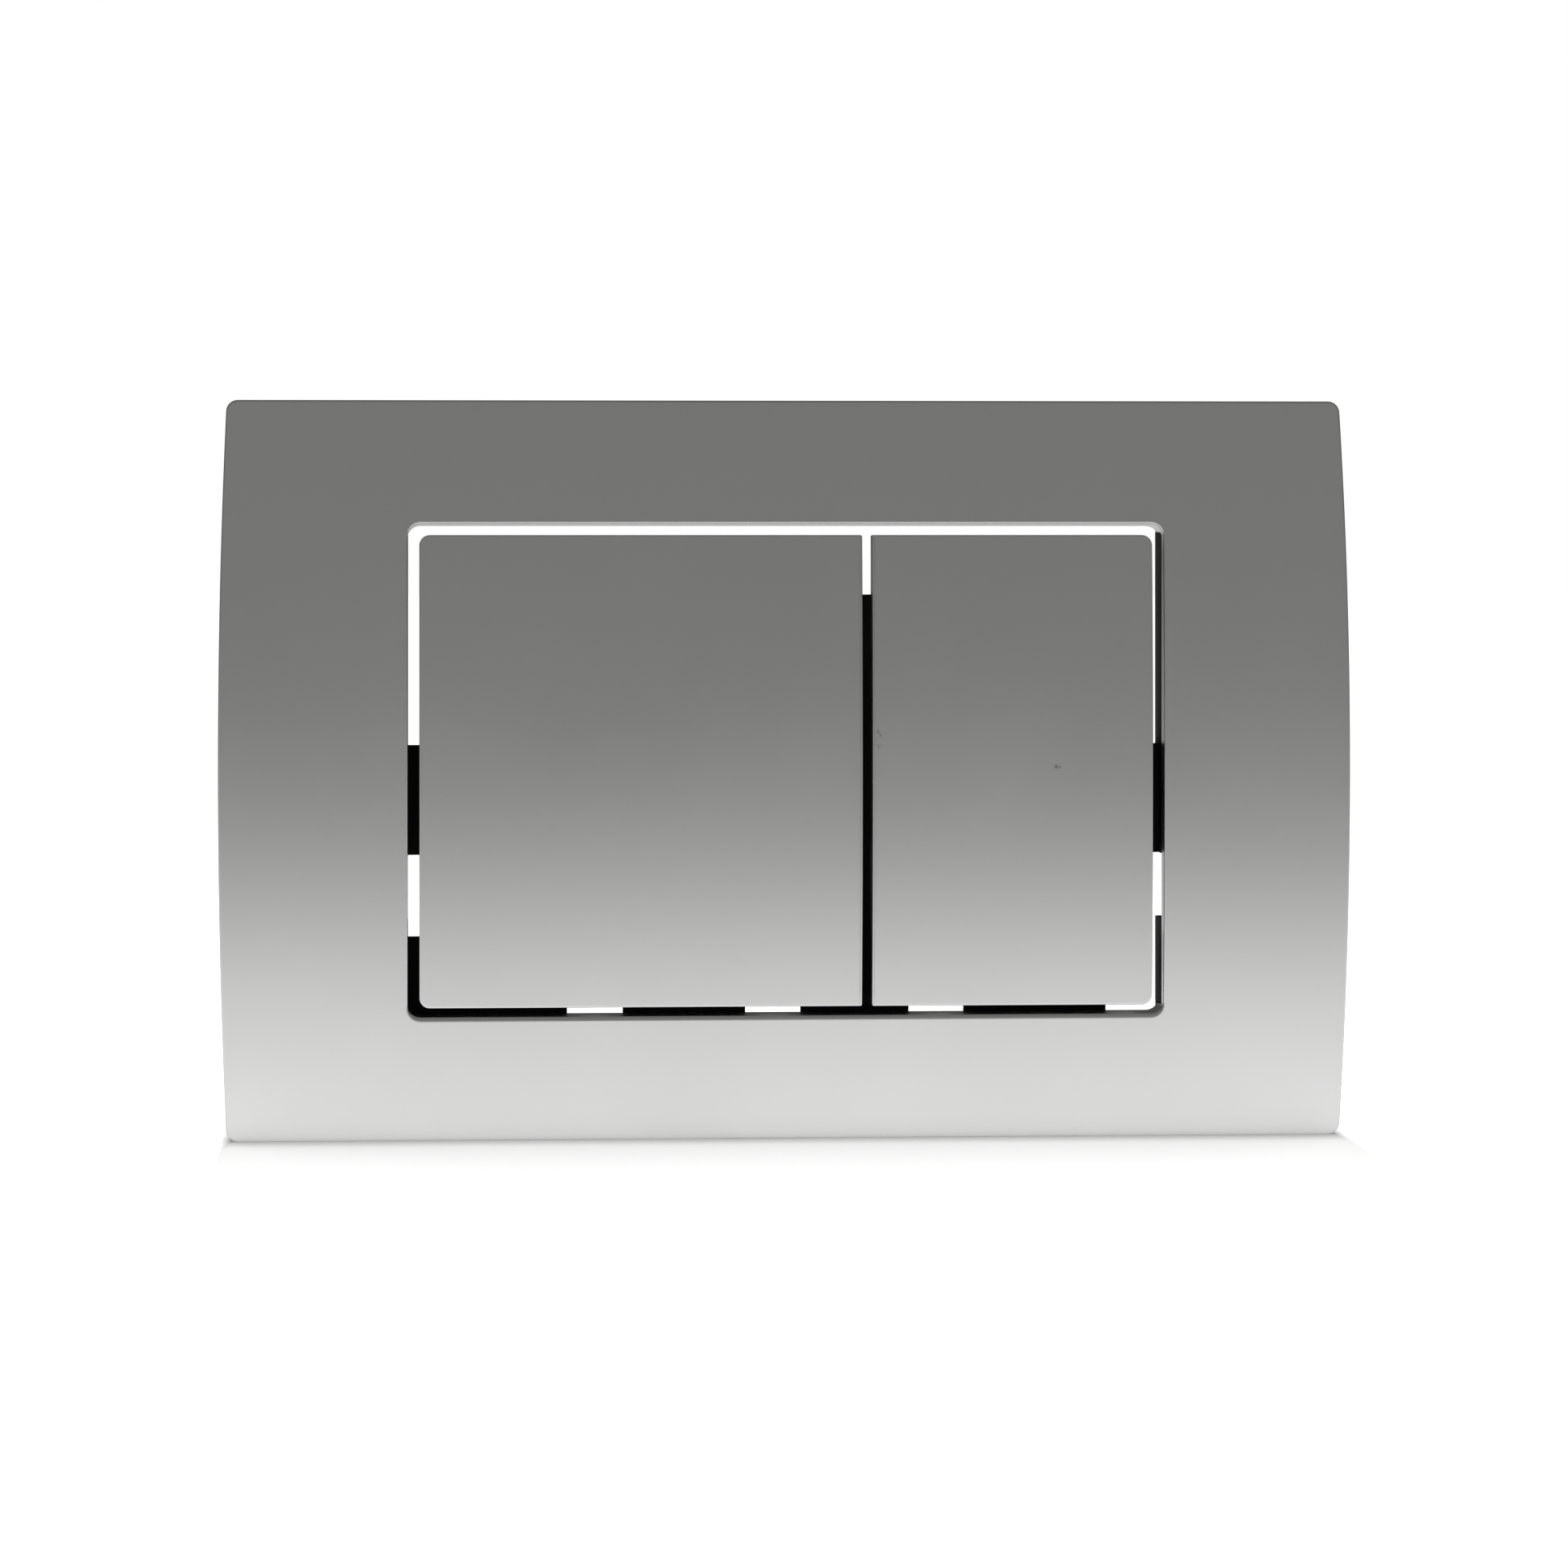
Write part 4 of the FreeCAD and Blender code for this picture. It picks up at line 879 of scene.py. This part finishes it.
# Camera, floor and light: places in metres, lens and sensor in millimetres
CAMERA_PLACE = (-0.078, -1.217, 0.0545)
CAMERA_YAW = -0.0642
CAMERA_LENS = 125.37
CAMERA_SHIFT = -0.1666
SENSOR_WIDTH = 36
FLOOR_GAP = 0.00015
FLOOR_LEVEL = -HALF_HEIGHT * MM - FLOOR_GAP
FLOOR_SIZE = 9
LAMP_PLACE = (0, 0.1, 1.1)
LAMP_SIZE = (1.4, 1.0)
LAMP_POWER = 11.0

# The floor's painted glows over the depth from 1 m behind the wall plane (0) to 1 m in front of it
# (1)
CAMERA_GLOW = ((0.2, 1.0), (0.46, 0.8), (0.495, 0.1), (0.5065, 0.0), (0.509, 0.42), (0.515, 0.47),
               (0.532, 0.5), (0.75, 0.85))
# Painted reflection: floor glow that only glossy rays see, brightest just in front of the plate's
# foot.
PAINTED_REFLECTION_GLOW = ((0.5, 0.22), (0.506, 0.4), (0.5085, 0.76), (0.56, 0.52), (0.68, 0.16), (0.8, 0.04),
               (1.0, 0.0))

# Distances to the left and right of the plate's middle where the floor turns white to the camera:
# painted white that hides the floor's shadow beside the plate
GLOW_STARTS = 0.1215
GLOW_FULL = 0.1265

# Brightness of the room from straight behind the plate (0) to straight in front of it (1)
ROOM_GLOW = ((0.0, 0.09), (0.4, 0.12), (0.55, 0.15), (0.8, 0.2), (0.95, 0.272))
ROOM_TINT = (1.0, 1.0, 0.97)


def camera():
    data = bpy.data.cameras.new("camera")
    data.sensor_width = SENSOR_WIDTH
    data.lens = CAMERA_LENS
    data.shift_y = CAMERA_SHIFT
    data.clip_start = 0.05
    data.clip_end = 60
    seen = bpy.data.objects.new("camera", data)
    bpy.context.scene.collection.objects.link(seen)
    seen.location = CAMERA_PLACE
    seen.rotation_euler = (math.radians(90), 0, CAMERA_YAW)
    bpy.context.scene.camera = seen


def ramp(tree, source, stops, tint=(1, 1, 1)):
    """A smooth curve of brightness over a source, from pairs of place (0 to 1) and value."""
    node = tree.nodes.new("ShaderNodeValToRGB")
    node.color_ramp.interpolation = "EASE"
    marks = node.color_ramp.elements
    while len(marks) < len(stops):
        marks.new(0.5)
    for mark, (where, value) in zip(marks, stops):
        mark.position = where
        mark.color = (value * tint[0], value * tint[1], value * tint[2], 1)
    tree.links.new(source, node.inputs["Fac"])
    return node.outputs["Color"]


def front_to_back(tree, source):
    """The Y part of a place or direction, from 0 at +1 (behind) to 1 at -1 (in front)."""
    node = tree.nodes.new("ShaderNodeMapRange")
    node.inputs["From Min"].default_value = 1.0
    node.inputs["From Max"].default_value = -1.0
    tree.links.new(source, node.inputs["Value"])
    return node.outputs["Result"]


def beside_plate(tree, source):
    """From 0 under the plate to 1 at its left and right, where painted white hides the floor's
    shadow.
    """
    width = tree.nodes.new("ShaderNodeMath")
    width.operation = "ABSOLUTE"
    tree.links.new(source, width.inputs[0])
    node = tree.nodes.new("ShaderNodeMapRange")
    node.interpolation_type = "SMOOTHSTEP"
    node.inputs["From Min"].default_value = GLOW_STARTS
    node.inputs["From Max"].default_value = GLOW_FULL
    tree.links.new(width.outputs["Value"], node.inputs["Value"])
    return node.outputs["Result"]


def floor_finish():
    """White that keeps the plate's shadow, with a painted glow towards the camera and a painted
    reflection that glows only into the chrome.
    """
    finish = Finish("floor_white", (0.86, 0.86, 0.86), roughness=0.6)
    tree = finish.tree
    apart = tree.nodes.new("ShaderNodeSeparateXYZ")
    finish.join(finish.place, apart.inputs["Vector"])
    depth = front_to_back(tree, apart.outputs["Y"])
    beside = beside_plate(tree, apart.outputs["X"])
    seen = tree.nodes.new("ShaderNodeLightPath")
    # Painted light: white seen only by the camera, low just in front of the plate so the shadow
    # shows there, full beside it where it hides the shadow.
    glow = combined(tree, "MAXIMUM", ramp(tree, depth, CAMERA_GLOW), beside)
    to_camera = combined(tree, "MULTIPLY", seen.outputs["Is Camera Ray"], glow)
    # Painted reflection: a glow that only the chrome's glossy rays see.
    painted_reflection = combined(tree, "MULTIPLY", seen.outputs["Is Glossy Ray"],
                         ramp(tree, depth, PAINTED_REFLECTION_GLOW))
    total = combined(tree, "ADD", to_camera, painted_reflection)
    finish.surface.inputs["Emission Color"].default_value = (1, 1, 1, 1)
    finish.join(total, finish.surface.inputs["Emission Strength"])
    return finish.material


def floor():
    mesh = bmesh.new()
    bmesh.ops.create_grid(mesh, x_segments=1, y_segments=1, size=FLOOR_SIZE)
    bmesh.ops.translate(mesh, vec=(0, 0, FLOOR_LEVEL), verts=mesh.verts[:])
    data = bpy.data.meshes.new("studio_floor")
    mesh.to_mesh(data)
    mesh.free()
    ground = bpy.data.objects.new("studio_floor", data)
    bpy.context.scene.collection.objects.link(ground)
    data.materials.append(floor_finish())


def studio_light():
    """A large soft box overhead that the chrome itself doesn't mirror."""
    data = bpy.data.lights.new("overhead_softbox", "AREA")
    data.shape = "RECTANGLE"
    data.size, data.size_y = LAMP_SIZE
    data.energy = LAMP_POWER
    lamp = bpy.data.objects.new("overhead_softbox", data)
    bpy.context.scene.collection.objects.link(lamp)
    lamp.location = LAMP_PLACE
    lamp.visible_glossy = False


def studio_world():
    """A grey room, brighter in front of the plate, with a white background for the camera."""
    world = bpy.data.worlds.new("studio")
    bpy.context.scene.world = world
    world.use_nodes = True
    tree = world.node_tree
    plain = tree.nodes["Background"]
    place = tree.nodes.new("ShaderNodeTexCoord")
    apart = tree.nodes.new("ShaderNodeSeparateXYZ")
    tree.links.new(place.outputs["Generated"], apart.inputs["Vector"])
    towards_front = front_to_back(tree, apart.outputs["Y"])
    tree.links.new(ramp(tree, towards_front, ROOM_GLOW, ROOM_TINT), plain.inputs["Color"])
    white = tree.nodes.new("ShaderNodeBackground")
    white.inputs["Color"].default_value = (1, 1, 1, 1)
    seen = tree.nodes.new("ShaderNodeLightPath")
    either = combined(tree, "MAXIMUM", seen.outputs["Is Camera Ray"],
                      seen.outputs["Is Transmission Ray"])
    mix = tree.nodes.new("ShaderNodeMixShader")
    tree.links.new(either, mix.inputs["Fac"])
    tree.links.new(plain.outputs["Background"], mix.inputs[1])
    tree.links.new(white.outputs["Background"], mix.inputs[2])
    tree.links.new(mix.outputs["Shader"], tree.nodes["World Output"].inputs["Surface"])


camera()
floor()
studio_light()
studio_world()
bpy.context.scene.view_settings.view_transform = "Standard"
